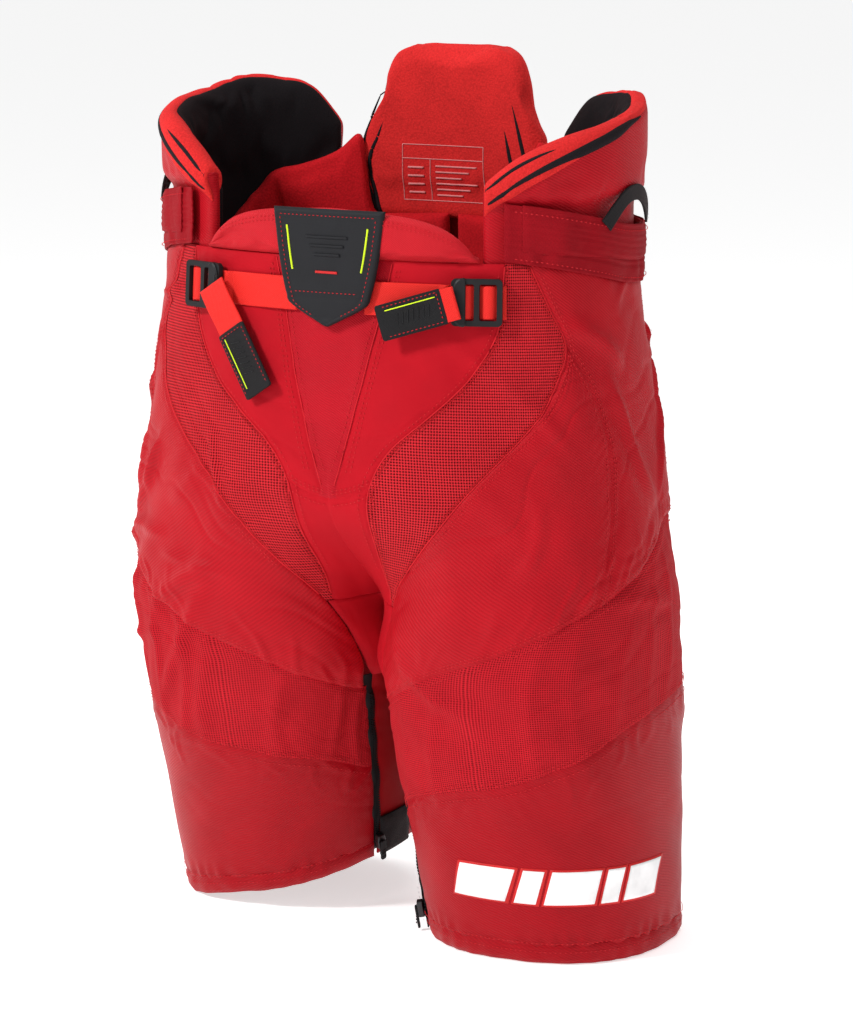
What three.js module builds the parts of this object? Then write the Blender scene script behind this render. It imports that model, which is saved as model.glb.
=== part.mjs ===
// Ice hockey pants as an assembly of separate sewn panels, pads, webbing, buckles and zips.
// Millimetres, +Z up. The front faces -Y and the wearer's left side is +X.
//
// The outer skin of each side is one surface, skin(side, t, z):
//   z is the height above the hems, and t runs once round the leg:
//   0 innermost, 0.25 front, 0.5 outer side, 0.75 back, 1 innermost again.
// Below the crotch each side is a closed leg. Above it, the loop opens at t = 0 and t = 1,
// which become the centre front and the centre back, so the two sides make one torso.
// Panels are regions of that skin, cut along seam curves in t and z and given a thickness.

import * as THREE from 'three';
import { mergeVertices } from 'three/addons/utils/BufferGeometryUtils.js';

// ---------------------------------------------------------------- driving sizes

const LEFT = 1;
const RIGHT = -1;
const SIDES = [[LEFT, 'left'], [RIGHT, 'right']];

const CROTCH_Z = 215; // height of the crotch above the hems
const HIP_BLEND = 150; // height over which the two legs become one torso
const SQUARENESS = 2.35; // exponent of the leg's section, 2 is an ellipse
const ORIGIN_SHIFT = { x: 4.2, y: -26.25 }; // puts the origin under the middle of the box

const FABRIC = 2.4; // face fabric with its thin foam backing
const MESH_FABRIC = 1.6;
const SEAM_T = 0.0019; // half of the gap left between panels, along t
const SEAM_Z = 0.8; // and along z

const WEBBING_WIDTH = 25;
const WEBBING = 1.8;
const BELT_Z = 512; // height of the middle of the belt

// Sections of each side, from the hem up: [z, value].
// width: from the centre plane to the outer side. leg: half width of one leg.
// front and back: half depths. middle: how far the leg's middle is set back.
const SECTIONS = {
  [LEFT]: {
    width: [[0, 208], [100, 210], [215, 214], [300, 213], [400, 204], [500, 191], [560, 188]],
    leg: [[0, 94], [100, 100], [215, 107]],
    front: [[0, 94], [100, 106], [215, 118], [300, 124], [400, 122], [500, 112], [560, 110]],
    back: [[0, 94], [100, 108], [215, 124], [300, 132], [400, 130], [500, 115], [560, 111]],
    middle: [[0, 42], [100, 28], [215, 12], [300, 5], [400, 0]],
  },
  [RIGHT]: {
    width: [[0, 222], [100, 220], [215, 218], [300, 216], [400, 206], [500, 191], [560, 188]],
    leg: [[0, 93], [100, 101], [215, 109]],
    front: [[0, 94], [100, 106], [215, 118], [300, 124], [400, 122], [500, 112], [560, 110]],
    back: [[0, 94], [100, 108], [215, 124], [300, 132], [400, 130], [500, 115], [560, 111]],
    middle: [[0, 86], [100, 58], [215, 24], [300, 8], [400, 0]],
  },
};

// The right leg is swung back, so its hem rises towards the inner back.
const RIGHT_HEM_RISE = 27;
const RIGHT_HEM_RISE_AT = 0.92;
const RIGHT_HEM_FLAT = 1.5;

// ---------------------------------------------------------------- seam curves

const HEM_SEAM = 14;
const ZIP_T = 0.07;
const ZIP_HALF = 0.0085;
const INNER_BACK_T = 0.93;
const BACK_SEAM_T = 0.64;
const WAIST_SEAM = 540;
const BAND_HEIGHT = 43;

// z as a function of t
const LOWER_SEAM = [
  [0.08, 100], [0.13, 116], [0.2, 129], [0.28, 143], [0.36, 162], [0.44, 182],
  [0.52, 196], [0.6, 198], [0.7, 186], [0.8, 162], [0.93, 122],
];
const UPPER_SEAM = [
  [0.08, 188], [0.15, 206], [0.22, 228], [0.3, 256], [0.38, 281], [0.46, 303],
  [0.54, 330], [0.6, 336], [0.7, 318], [0.8, 282], [0.93, 204],
];
const BAND_BOTTOM = [[0.22, 542], [0.3, 537], [0.4, 529], [0.52, 519], [0.64, 518], [0.8, 524], [1, 530]];
const V_SEAM = [[0, 358], [0.025, 364], [0.05, 374]];
const GUARD_TOP = [[0, 578], [0.08, 574], [0.13, 567], [0.165, 556], [0.185, 546]];
const PAD_RIM = [
  [0.19, 596], [0.25, 616], [0.33, 630], [0.45, 641], [0.55, 650],
  [0.66, 657], [0.74, 654], [0.79, 646], [0.84, 618],
];
const LUMBAR_TOP = [[0.5, 520], [0.59, 549], [0.66, 570], [0.74, 574], [0.93, 574]];

// t as a function of z
const INSERT_INNER = [
  [272, 0.07], [290, 0.052], [310, 0.042], [350, 0.036], [374, 0.042], [400, 0.066],
  [425, 0.112], [455, 0.168], [490, 0.212], [540, 0.226],
];
const INSERT_OUTER = [
  [272, 0.081], [290, 0.087], [312, 0.102], [336, 0.12], [360, 0.145], [386, 0.19],
  [408, 0.235], [430, 0.277], [450, 0.303], [478, 0.328], [505, 0.303], [540, 0.266],
];
const SIDE_SEAM = [
  [285, 0.386], [326, 0.392], [360, 0.399], [392, 0.405], [416, 0.396], [446, 0.374], [478, 0.33],
];
const FLY_SEAM = [[368, 0.004], [404, 0.016], [442, 0.03], [492, 0.048], [540, 0.066]];

// half width, x, as a function of z
const BADGE_HALF = [[489, 3], [505, 31], [513, 35], [540, 41], [577, 46]];
const SPINE_HALF = [[577, 81], [597, 82], [612, 80], [640, 71], [664, 62], [678, 53], [686, 38]];
const TAILBONE_HALF = [[420, 22], [450, 40], [500, 55], [573, 66]];

// ---------------------------------------------------------------- materials

const material = (color, roughness, metalness = 0) =>
  new THREE.MeshStandardMaterial({ color, roughness, metalness });
const MATERIALS = {
  nylon: material(0xc41420, 0.62),
  openMesh: material(0x9c1018, 0.85),
  wovenMesh: material(0xb0121c, 0.8),
  stretch: material(0xc2121c, 0.7),
  twill: material(0xc01722, 0.75),
  knit: material(0xc8242c, 0.85),
  liner: material(0x0d0d0f, 0.95),
  elastic: material(0xb8141f, 0.8),
  webbing: material(0xe02a1e, 0.6),
  blackWebbing: material(0x141416, 0.7),
  plastic: material(0x17181a, 0.4),
  rubber: material(0x2a2b30, 0.55),
  zip: material(0x101012, 0.5),
  metal: material(0x2b2b2e, 0.35, 0.9),
  guard: material(0xe6e6e0, 0.5),
};

// ---------------------------------------------------------------- curves and skin

/** A smooth curve through [x, y] points, level beyond both ends. */
function curve(points, x) {
  const last = points.length - 1;
  if (x <= points[0][0]) return points[0][1];
  if (x >= points[last][0]) return points[last][1];
  let i = 0;
  while (x > points[i + 1][0]) i += 1;
  const slope = (a, b) => (points[b][1] - points[a][1]) / (points[b][0] - points[a][0]);
  const step = points[i + 1][0] - points[i][0];
  const m0 = slope(Math.max(i - 1, 0), i + 1) * step;
  const m1 = slope(i, Math.min(i + 2, last)) * step;
  const s = (x - points[i][0]) / step;
  return (
    (2 * s ** 3 - 3 * s ** 2 + 1) * points[i][1] +
    (s ** 3 - 2 * s ** 2 + s) * m0 +
    (3 * s ** 2 - 2 * s ** 3) * points[i + 1][1] +
    (s ** 3 - s ** 2) * m1
  );
}

const lerp = (a, b, f) => a + (b - a) * f;
const steps = (n) => Array.from({ length: n + 1 }, (_, i) => i / n);
const squared = (c) => Math.sign(c) * Math.abs(c) ** (2 / SQUARENESS);

function hemRise(side, t) {
  if (side === LEFT) return 0;
  const wave = 1 + Math.cos(2 * Math.PI * (t - RIGHT_HEM_RISE_AT));
  return Math.max(0, RIGHT_HEM_RISE * wave - RIGHT_HEM_FLAT);
}

/** The outer skin of one side. Below the crotch t may run past 0 or 1. */
function skin(side, t, z) {
  const section = SECTIONS[side];
  const width = curve(section.width, z);
  const leg = z >= CROTCH_Z ? width / 2 : curve(section.leg, z);
  const middle = curve(section.middle, z);
  const depth = (c) => (c > 0 ? curve(section.front, z) : curve(section.back, z));
  const rise = Math.min(Math.max((z - CROTCH_Z) / HIP_BLEND, 0), 1);
  const torso = rise * rise * (3 - 2 * rise);
  const round = 2 * Math.PI * t;
  const half = Math.PI * t;
  const legX = width - leg - leg * squared(Math.cos(round));
  const legY = middle - depth(Math.sin(round)) * squared(Math.sin(round));
  const torsoX = width * squared(Math.sin(half));
  const torsoY = middle - depth(Math.cos(half)) * squared(Math.cos(half));
  const lifted = z + hemRise(side, t) * Math.max(0, 1 - z / CROTCH_Z);
  return new THREE.Vector3(
    side * lerp(legX, torsoX, torso),
    lerp(legY, torsoY, torso),
    lifted,
  );
}

/** A right-handed frame on the skin: across (to the viewer's right), up, and outward. */
function frameAt(side, t, z, out) {
  const place = skin(side, t, z);
  const across = skin(side, t + 0.005, z).sub(skin(side, t - 0.005, z)).multiplyScalar(side).normalize();
  const up = skin(side, t, z + 2).sub(skin(side, t, z - 2)).normalize();
  const outward = new THREE.Vector3().crossVectors(across, up).normalize();
  up.crossVectors(outward, across);
  place.addScaledVector(outward, out);
  return new THREE.Matrix4().makeBasis(across, up, outward).setPosition(place);
}

// ---------------------------------------------------------------- solids from grids

function geometryFrom(vertices, triangles) {
  const geometry = new THREE.BufferGeometry();
  geometry.setAttribute('position', new THREE.Float32BufferAttribute(vertices.flat(), 3));
  geometry.setIndex(triangles.flat());
  return geometry;
}

/** Two triangles for each cell of a grid with the given number of columns and rows. */
function gridTriangles(columns, rows, index) {
  const triangles = [];
  for (let i = 0; i < columns - 1; i += 1) {
    for (let j = 0; j < rows - 1; j += 1) {
      const [a, b, c, d] = [index(i, j), index(i + 1, j), index(i + 1, j + 1), index(i, j + 1)];
      triangles.push([a, b, c], [a, c, d]);
    }
  }
  return triangles;
}

/**
 * A closed slab from a grid of points, grid[column][row], whose columns run to the viewer's
 * right and whose rows run up when it is seen from outside.
 * outer and inner are how far its two faces lie outside the grid, and a level slab is
 * thickened sideways only, so its lower edge stays flat.
 */
function slab(grid, outer, inner, level = false) {
  const columns = grid.length;
  const rows = grid[0].length;
  const at = (i, j) => i * rows + j;
  const face = gridTriangles(columns, rows, at);
  const flat = grid.flat();
  const sheet = geometryFrom(flat.map((p) => [p.x, p.y, p.z]), face);
  sheet.computeVertexNormals();
  const normals = sheet.getAttribute('normal');
  const layer = (offset) => flat.map((p, k) => {
    const normal = new THREE.Vector3().fromBufferAttribute(normals, k);
    if (level) normal.setZ(0).normalize();
    return p.clone().addScaledVector(normal, offset).toArray();
  });
  const under = flat.length;
  const border = [];
  for (let i = 0; i < columns - 1; i += 1) border.push([at(i, 0), at(i + 1, 0)]);
  for (let j = 0; j < rows - 1; j += 1) border.push([at(columns - 1, j), at(columns - 1, j + 1)]);
  for (let i = columns - 1; i > 0; i -= 1) border.push([at(i, rows - 1), at(i - 1, rows - 1)]);
  for (let j = rows - 1; j > 0; j -= 1) border.push([at(0, j), at(0, j - 1)]);
  const rim = border.flatMap(([a, b]) => [[a, a + under, b], [b, a + under, b + under]]);
  const back = face.map(([a, b, c]) => [a + under, c + under, b + under]);
  return geometryFrom([...layer(outer), ...layer(inner)], [...face, ...back, ...rim]);
}

/**
 * A region of one side's skin as a grid. from and to give t at a height, and low and high
 * give z at a t; all four are curves' functions or numbers.
 */
function region(side, { from, to, low, high, columns, rows }) {
  const value = (f, x) => (typeof f === 'function' ? f(x) : f);
  const grid = steps(columns).map((u) => steps(rows).map((v) => {
    let t = lerp(value(from, WAIST_SEAM), value(to, WAIST_SEAM), u);
    let z = CROTCH_Z;
    for (let pass = 0; pass < 12; pass += 1) {
      z = lerp(value(low, t) + SEAM_Z, value(high, t) - SEAM_Z, v);
      t = lerp(value(from, z) + SEAM_T, value(to, z) - SEAM_T, u);
    }
    return skin(side, t, z);
  }));
  return side === LEFT ? grid : grid.reverse();
}

/** A region across the centre front: half(z) gives its half width in t. */
function centreRegion({ half, low, high, columns, rows }) {
  return steps(columns).map((u) => steps(rows).map((v) => {
    const share = 2 * u - 1;
    const side = share < 0 ? RIGHT : LEFT;
    let t = 0;
    let z = CROTCH_Z;
    for (let pass = 0; pass < 12; pass += 1) {
      z = lerp(low(t) + SEAM_Z, high(t) - SEAM_Z, v);
      t = Math.abs(share) * (half(z) - SEAM_T);
    }
    return skin(side, t, z);
  }));
}

const object = new THREE.Group();
object.position.set(ORIGIN_SHIFT.x, ORIGIN_SHIFT.y, 0);

function add(name, geometry, look) {
  const mesh = new THREE.Mesh(geometry, MATERIALS[look]);
  mesh.name = name;
  object.add(mesh);
  return mesh;
}

// ---------------------------------------------------------------- leg panels

const along = (points) => (x) => curve(points, x);
const bandBottom = along(BAND_BOTTOM);
const panelTop = (t) => (t < 0.22 ? WAIST_SEAM : bandBottom(t) + 3);
const BAND_OUT = 0.9;
const BAND_THICK = 3.4;

/** Under the crotch: a sling from the centre front, between the legs, to the centre back. */
const SLING = [
  { rise: 57, t: 0.0755, z: 268 },
  { rise: 34, t: 0.0755, z: 228 },
  { rise: 18, t: 0.062, z: 206 },
  { rise: 6, t: 0.034, z: 206 },
  { rise: 0, t: 0, z: 206 },
];
function slingGrid() {
  const front = SLING.map((rib) => ({ ...rib, back: false }));
  const back = SLING.slice(0, -1).map((rib) => ({ ...rib, t: Math.min(rib.t, 0.0655), back: true }));
  const ribs = [...back, ...front.reverse()];
  const across = 3;
  const grid = [];
  for (let j = -across; j <= across; j += 1) {
    const side = j < 0 ? RIGHT : LEFT;
    const f = Math.abs(j) / across;
    grid.push(ribs.map((rib) => {
      const t = rib.t * f;
      const z = lerp(CROTCH_Z + rib.rise, rib.z, f);
      return skin(side, rib.back ? 1 - t : t, z);
    }));
  }
  return grid;
}

function seatGrid(side) {
  const columns = [0.6414, 0.69, 0.74, 0.79, 0.84, 0.885, 0.928, 0.9305, 0.965, 0.999];
  const rows = 7;
  const grid = columns.map((t) => {
    const low = t > 0.93 ? CROTCH_Z + 62 : curve(UPPER_SEAM, t);
    return steps(rows).map((v) => skin(side, t, lerp(low + SEAM_Z, panelTop(t) - SEAM_Z, v)));
  });
  return side === LEFT ? grid : grid.reverse();
}

for (const [side, word] of SIDES) {
  const wrap = { from: ZIP_T + ZIP_HALF, to: INNER_BACK_T };
  add(`${word}_hem_band`, slab(
    region(side, {
      from: ZIP_T + ZIP_HALF, to: 1 + ZIP_T - ZIP_HALF, low: -SEAM_Z, high: HEM_SEAM, columns: 30, rows: 1,
    }), 0.6, -3.6, true,
  ), 'nylon');
  add(`${word}_cuff_panel`, slab(
    region(side, { ...wrap, low: HEM_SEAM, high: along(LOWER_SEAM), columns: 26, rows: 3 }), 0, -FABRIC,
  ), 'nylon');
  add(`${word}_mid_band`, slab(
    region(side, { ...wrap, low: along(LOWER_SEAM), high: along(UPPER_SEAM), columns: 26, rows: 3 }), 0, -FABRIC,
  ), 'wovenMesh');
  add(`${word}_inner_panel`, slab(
    region(side, { from: INNER_BACK_T - 1, to: ZIP_T - ZIP_HALF, low: HEM_SEAM, high: 205, columns: 5, rows: 5 }),
    0, -MESH_FABRIC,
  ), 'stretch');
  add(`${word}_zipper_tape`, slab(
    region(side, { from: ZIP_T - ZIP_HALF, to: ZIP_T + ZIP_HALF, low: 8, high: 187, columns: 2, rows: 8 }),
    -0.2, -2.2,
  ), 'zip');
  add(`${word}_zipper_guard`, slab(
    region(side, { from: 0.022, to: 0.0585, low: 3, high: 40, columns: 3, rows: 2 }), 3.4, 1.1,
  ), 'blackWebbing');

  add(`${word}_thigh_panel`, slab(region(side, {
    from: along(INSERT_OUTER), to: along(SIDE_SEAM), low: along(UPPER_SEAM), high: 478, columns: 9, rows: 9,
  }), 0, -FABRIC), 'nylon');
  const sideFront = (z) => (z < 478 ? curve(SIDE_SEAM, z) : curve(INSERT_OUTER, z));
  add(`${word}_side_panel`, slab(region(side, {
    from: sideFront, to: BACK_SEAM_T, low: along(UPPER_SEAM), high: panelTop, columns: 8, rows: 9,
  }), 0, -FABRIC), 'nylon');
  add(`${word}_seat_panel`, slab(seatGrid(side), 0, -FABRIC), 'nylon');
  add(`${word}_mesh_insert`, slab(region(side, {
    from: along(INSERT_INNER), to: along(INSERT_OUTER), low: 273, high: WAIST_SEAM, columns: 3, rows: 14,
  }), -0.3, -MESH_FABRIC), 'openMesh');
  add(`${word}_front_panel`, slab(region(side, {
    from: along(FLY_SEAM), to: along(INSERT_INNER), low: along(V_SEAM), high: WAIST_SEAM, columns: 4, rows: 8,
  }), 0, -FABRIC), 'nylon');
}

add('front_gusset', slab(centreRegion({
  half: along(INSERT_INNER), low: () => CROTCH_Z + 59, high: along(V_SEAM), columns: 6, rows: 4,
}), 0, -FABRIC), 'stretch');
add('fly_panel', slab(centreRegion({
  half: along(FLY_SEAM), low: () => 366, high: () => WAIST_SEAM, columns: 4, rows: 7,
}), 0, -FABRIC), 'twill');
add('crotch_gusset', slab(slingGrid(), 0, -FABRIC), 'stretch');
add('front_guard', slab(centreRegion({
  half: () => 0.186, low: () => WAIST_SEAM, high: along(GUARD_TOP), columns: 14, rows: 3,
}), 5, -7), 'twill');

// ---------------------------------------------------------------- waist, pads and guards

/** A plate across the centre of the front or the back, from its half width at each height. */
function centrePlate({ halfWidth, low, high, place, columns, rows }) {
  return steps(columns).map((u) => steps(rows).map((v) => {
    const z = lerp(low, high, v);
    return place((2 * u - 1) * curve(halfWidth, z), z);
  }));
}

const frontPlace = (x, z) => {
  const section = SECTIONS[LEFT];
  const share = Math.abs(x) / curve(section.width, z);
  const t = Math.asin(share ** (SQUARENESS / 2)) / Math.PI;
  return skin(x < 0 ? RIGHT : LEFT, t, z);
};
const backPlace = (x, z) => {
  const point = frontPlace(x, z);
  const depth = curve(SECTIONS[LEFT].back, z) / curve(SECTIONS[LEFT].front, z);
  return point.set(-point.x, -point.y * depth, point.z);
};

add('waist_badge', slab(centrePlate({
  halfWidth: BADGE_HALF, low: 489, high: 577, place: frontPlace, columns: 6, rows: 6,
}), 9.6, 6.6), 'rubber');
add('tailbone_guard', slab(centrePlate({
  halfWidth: TAILBONE_HALF, low: 420, high: 573, place: backPlace, columns: 4, rows: 5,
}), -4, -13), 'guard');

const HINGE_Z = 588; // the side pads bend above the waistband here
const SPINE_HINGE_Z = 575; // and the spine pad here
const SPINE_FACE = 2;
const SPINE_THICK = 17;
add('spine_pad', slab(centrePlate({
  halfWidth: SPINE_HALF, low: SPINE_HINGE_Z + 2, high: 686, place: backPlace, columns: 8, rows: 8,
}), -SPINE_FACE, -SPINE_FACE - SPINE_THICK), 'knit');

const PAD = { from: 0.19, to: 0.84 };
const LOOP = { from: 0.42, to: 0.58, foot: 566, rise: 22, tall: 9 };

for (const [side, word] of SIDES) {
  add(`${word}_waistband`, slab(region(side, {
    from: 0.225, to: 0.999, low: bandBottom, high: (t) => bandBottom(t) + BAND_HEIGHT, columns: 22, rows: 1,
  }), BAND_OUT + BAND_THICK, BAND_OUT), 'elastic');
  add(`${word}_kidney_pad`, slab(region(side, {
    ...PAD, low: HINGE_Z, high: along(PAD_RIM), columns: 14, rows: 3,
  }), 2, -14), 'knit');
  add(`${word}_kidney_liner`, slab(region(side, {
    from: 0.215, to: 0.825, low: HINGE_Z, high: (t) => curve(PAD_RIM, t) - 4, columns: 14, rows: 2,
  }), -14.6, -17), 'liner');
  add(`${word}_kidney_base`, slab(region(side, {
    ...PAD, low: 530, high: HINGE_Z - 1, columns: 14, rows: 2,
  }), -3.4, -14), 'knit');
  add(`${word}_lumbar_pad`, slab(region(side, {
    from: 0.5, to: 0.88, low: 470, high: along(LUMBAR_TOP), columns: 8, rows: 3,
  }), -15, -26), 'knit');
  const loopMiddle = (t) => LOOP.foot + LOOP.rise * Math.sin(Math.PI * (t - LOOP.from) / (LOOP.to - LOOP.from));
  add(`${word}_waist_loop`, slab(region(side, {
    from: LOOP.from, to: LOOP.to, low: (t) => loopMiddle(t) - LOOP.tall / 2,
    high: (t) => loopMiddle(t) + LOOP.tall / 2, columns: 8, rows: 1,
  }), 7.4, 5.2), 'blackWebbing');
  add(`${word}_thigh_guard`, slab(region(side, {
    from: 0.14, to: 0.385, low: 52, high: 300, columns: 8, rows: 7,
  }), -6, -13), 'guard');
  add(`${word}_hip_guard`, slab(region(side, {
    from: 0.42, to: 0.61, low: 240, high: 460, columns: 4, rows: 5,
  }), -6, -13), 'guard');
}

// ---------------------------------------------------------------- belt

/** A rectangle with rounded corners, from its lower left corner. */
function roundedRectangle(x, y, width, height, radius, Kind = THREE.Shape) {
  const outline = new Kind();
  const corners = [
    [x + width - radius, y + radius, -Math.PI / 2],
    [x + width - radius, y + height - radius, 0],
    [x + radius, y + height - radius, Math.PI / 2],
    [x + radius, y + radius, Math.PI],
  ];
  for (const [cx, cy, start] of corners) outline.absarc(cx, cy, radius, start, start + Math.PI / 2, false);
  return outline;
}

function plate(outline, thickness, curveSegments = 3) {
  const geometry = new THREE.ExtrudeGeometry(outline, { depth: thickness, bevelEnabled: false, curveSegments });
  geometry.deleteAttribute('normal');
  geometry.deleteAttribute('uv');
  return mergeVertices(geometry);
}

const BUCKLE = { width: 38, height: 35, thick: 4, bar: 4, out: 4.6, t: 0.183 };
const TAIL_TILT = { [LEFT]: -163, [RIGHT]: -57 }; // the free ends' directions at rest, in degrees
const TAIL = {
  [LEFT]: { webbing: 8, tab: 52 },
  [RIGHT]: { webbing: 36, tab: 54 },
};
const TAIL_PIVOT = { in: 34, out: 6.4 }; // from the buckle's hinge bar, across and outward
const TAIL_T = 0.11; // the free ends lie flat to the skin here

for (const [side, word] of SIDES) {
  add(`${word}_belt_strap`, slab(region(side, {
    from: 0.045, to: 0.14, low: BELT_Z - WEBBING_WIDTH / 2, high: BELT_Z + WEBBING_WIDTH / 2, columns: 6, rows: 1,
  }), 3.4, 3.4 - WEBBING), 'webbing');
  add(`${word}_buckle_anchor`, slab(region(side, {
    from: 0.15, to: 0.235, low: BELT_Z - WEBBING_WIDTH / 2, high: BELT_Z + WEBBING_WIDTH / 2, columns: 4, rows: 1,
  }), 3.4, 3.4 - WEBBING), 'webbing');

  // The buckle's own origin is on its hinge bar, and it reaches from there to the centre front.
  const { width, height, thick, bar, out, t } = BUCKLE;
  const left = side === LEFT ? -width : 0;
  const outline = roundedRectangle(left, -height / 2, width, height, 3.5);
  const window = (width - 3 * bar) / 2;
  for (const k of [0, 1]) {
    const x = left + bar + k * (window + bar);
    outline.holes.push(roundedRectangle(x, bar - height / 2, window, height - 2 * bar, 1.5, THREE.Path));
  }
  const buckle = add(`${word}_buckle`, plate(outline, thick), 'plastic');
  const seat = frameAt(side, t, BELT_Z, out).multiply(
    new THREE.Matrix4().makeTranslation(side * (width / 2), 0, 0),
  );
  seat.decompose(buckle.position, buckle.quaternion, buckle.scale);

  // The free end hangs from the buckle's inner edge and lies flat to the skin beside it.
  const pivot = new THREE.Vector3(-side * TAIL_PIVOT.in, 0, TAIL_PIVOT.out).applyMatrix4(seat);
  const hang = frameAt(side, TAIL_T, BELT_Z, 0).setPosition(pivot)
    .multiply(new THREE.Matrix4().makeRotationZ(THREE.MathUtils.degToRad(TAIL_TILT[side])));
  const { webbing, tab } = TAIL[side];
  const tail = add(`${word}_strap_tail`, plate(
    roundedRectangle(0, -WEBBING_WIDTH / 2, webbing, WEBBING_WIDTH, 1), WEBBING,
  ), 'webbing');
  const end = add(`${word}_tail_tab`, plate(
    roundedRectangle(webbing + 0.4, -WEBBING_WIDTH / 2 - 1, tab, WEBBING_WIDTH + 2, 2), WEBBING + 0.8,
  ), 'rubber');
  for (const piece of [tail, end]) hang.decompose(piece.position, piece.quaternion, piece.scale);
}

// ---------------------------------------------------------------- zip sliders and pulls

const SLIDER = { wide: 8, tall: 14, thick: 4.6, z: 12, out: 2.6 };
const PULL = { wide: 5, tall: 19, thick: 1.8, pivot: 10 };
const ZIP_TOP = 170;

for (const [side, word] of SIDES) {
  // The slider runs on a straight line close outside the zip.
  const foot = frameAt(side, ZIP_T, SLIDER.z, SLIDER.out);
  const top = frameAt(side, ZIP_T, ZIP_TOP, SLIDER.out);
  const place = new THREE.Vector3().setFromMatrixPosition(foot);
  const up = new THREE.Vector3().setFromMatrixPosition(top).sub(place).normalize();
  const outward = new THREE.Vector3().setFromMatrixColumn(foot, 2);
  const across = new THREE.Vector3().crossVectors(up, outward).normalize();
  outward.crossVectors(across, up);
  const track = new THREE.Matrix4().makeBasis(across, up, outward).setPosition(place);

  const body = new THREE.Shape([
    new THREE.Vector2(-SLIDER.wide / 2 + 2, 0),
    new THREE.Vector2(SLIDER.wide / 2 - 2, 0),
    new THREE.Vector2(SLIDER.wide / 2, SLIDER.tall * 0.6),
    new THREE.Vector2(SLIDER.wide / 2 - 1, SLIDER.tall),
    new THREE.Vector2(-SLIDER.wide / 2 + 1, SLIDER.tall),
    new THREE.Vector2(-SLIDER.wide / 2, SLIDER.tall * 0.6),
  ]);
  const slider = add(`${word}_zip_slider`, plate(body, SLIDER.thick), 'metal');
  track.decompose(slider.position, slider.quaternion, slider.scale);

  // The pull's own origin is on its hinge, and it hangs down from there.
  const pull = add(`${word}_zip_pull`, plate(
    roundedRectangle(-PULL.wide / 2, -PULL.tall, PULL.wide, PULL.tall, 1.6), PULL.thick,
  ), 'zip');
  const hinge = track.clone().multiply(
    new THREE.Matrix4().makeTranslation(0, PULL.pivot, SLIDER.thick + 0.4),
  );
  hinge.decompose(pull.position, pull.quaternion, pull.scale);
}

export default object;
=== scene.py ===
"""Looks for the ice hockey pants: every CAD piece gets its fabric, foam, webbing or plastic here.

All sizes are in millimetres in the script's own numbers and become metres in mesh_object().
The outer skin is the same surface as in the CAD source: t runs once round a leg (0 innermost,
0.25 front, 0.5 outer side, 0.75 back) and z is the height above the hems.
"""
import math
import random

import bpy
import bmesh
import numpy as np
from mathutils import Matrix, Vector, noise
from mathutils.bvhtree import BVHTree


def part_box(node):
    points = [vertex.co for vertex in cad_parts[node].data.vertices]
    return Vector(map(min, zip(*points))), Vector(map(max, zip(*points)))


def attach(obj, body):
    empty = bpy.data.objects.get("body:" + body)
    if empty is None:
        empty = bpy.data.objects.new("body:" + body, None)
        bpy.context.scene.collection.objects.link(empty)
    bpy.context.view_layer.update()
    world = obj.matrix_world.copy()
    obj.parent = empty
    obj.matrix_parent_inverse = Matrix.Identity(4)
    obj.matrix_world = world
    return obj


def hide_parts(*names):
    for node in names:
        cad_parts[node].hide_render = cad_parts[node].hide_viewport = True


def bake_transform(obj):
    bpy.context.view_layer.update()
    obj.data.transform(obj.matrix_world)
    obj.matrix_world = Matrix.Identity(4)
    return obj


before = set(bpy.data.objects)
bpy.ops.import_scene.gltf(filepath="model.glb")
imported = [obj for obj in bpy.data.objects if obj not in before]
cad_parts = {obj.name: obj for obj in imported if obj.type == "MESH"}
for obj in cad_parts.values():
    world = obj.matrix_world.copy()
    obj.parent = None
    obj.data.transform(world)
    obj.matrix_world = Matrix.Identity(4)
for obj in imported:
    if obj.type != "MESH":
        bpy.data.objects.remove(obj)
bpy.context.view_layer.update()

MM = 0.001
ROOT = "pants"
LEFT, RIGHT = 1, -1
SIDES = ((LEFT, "left"), (RIGHT, "right"))

# ------------------------------------------------------------------ driving sizes

ORIGIN = np.array([4.2, -26.25, 0.0])
CROTCH_Z = 215.0
HIP_BLEND = 150.0
SQUARENESS = 2.35
HEM_SEAM = 14.0
LAP = 2.2  # how far one panel runs under the next at a seam
LAP_T = 0.0034
SLIT = 0.0042  # half width of the open slit that shows the zip
ZIP_T = 0.07
ZIP_HALF = 0.0085
INNER_BACK_T = 0.93
BACK_SEAM_T = 0.64
WAIST_SEAM = 540.0
BAND_HEIGHT = 43.0
BELT_Z = 512.0
WEBBING_WIDTH = 25.0
WEBBING = 1.8

SECTIONS = {
    LEFT: {
        "width": [(0, 208), (100, 210), (215, 214), (300, 213), (400, 204), (500, 191), (560, 188)],
        "leg": [(0, 94), (100, 100), (215, 107)],
        "middle": [(0, 42), (100, 28), (215, 12), (300, 5), (400, 0)],
    },
    RIGHT: {
        "width": [(0, 222), (100, 220), (215, 218), (300, 216), (400, 206), (500, 191), (560, 188)],
        "leg": [(0, 93), (100, 101), (215, 109)],
        "middle": [(0, 86), (100, 58), (215, 24), (300, 8), (400, 0)],
    },
}
FRONT_DEPTH = [(0, 94), (100, 106), (215, 118), (300, 124), (400, 122), (500, 112), (560, 110)]
BACK_DEPTH = [(0, 94), (100, 108), (215, 124), (300, 132), (400, 130), (500, 115), (560, 111)]
HEM_RISE, HEM_RISE_AT, HEM_FLAT = 27.0, 0.92, 1.5

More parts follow.
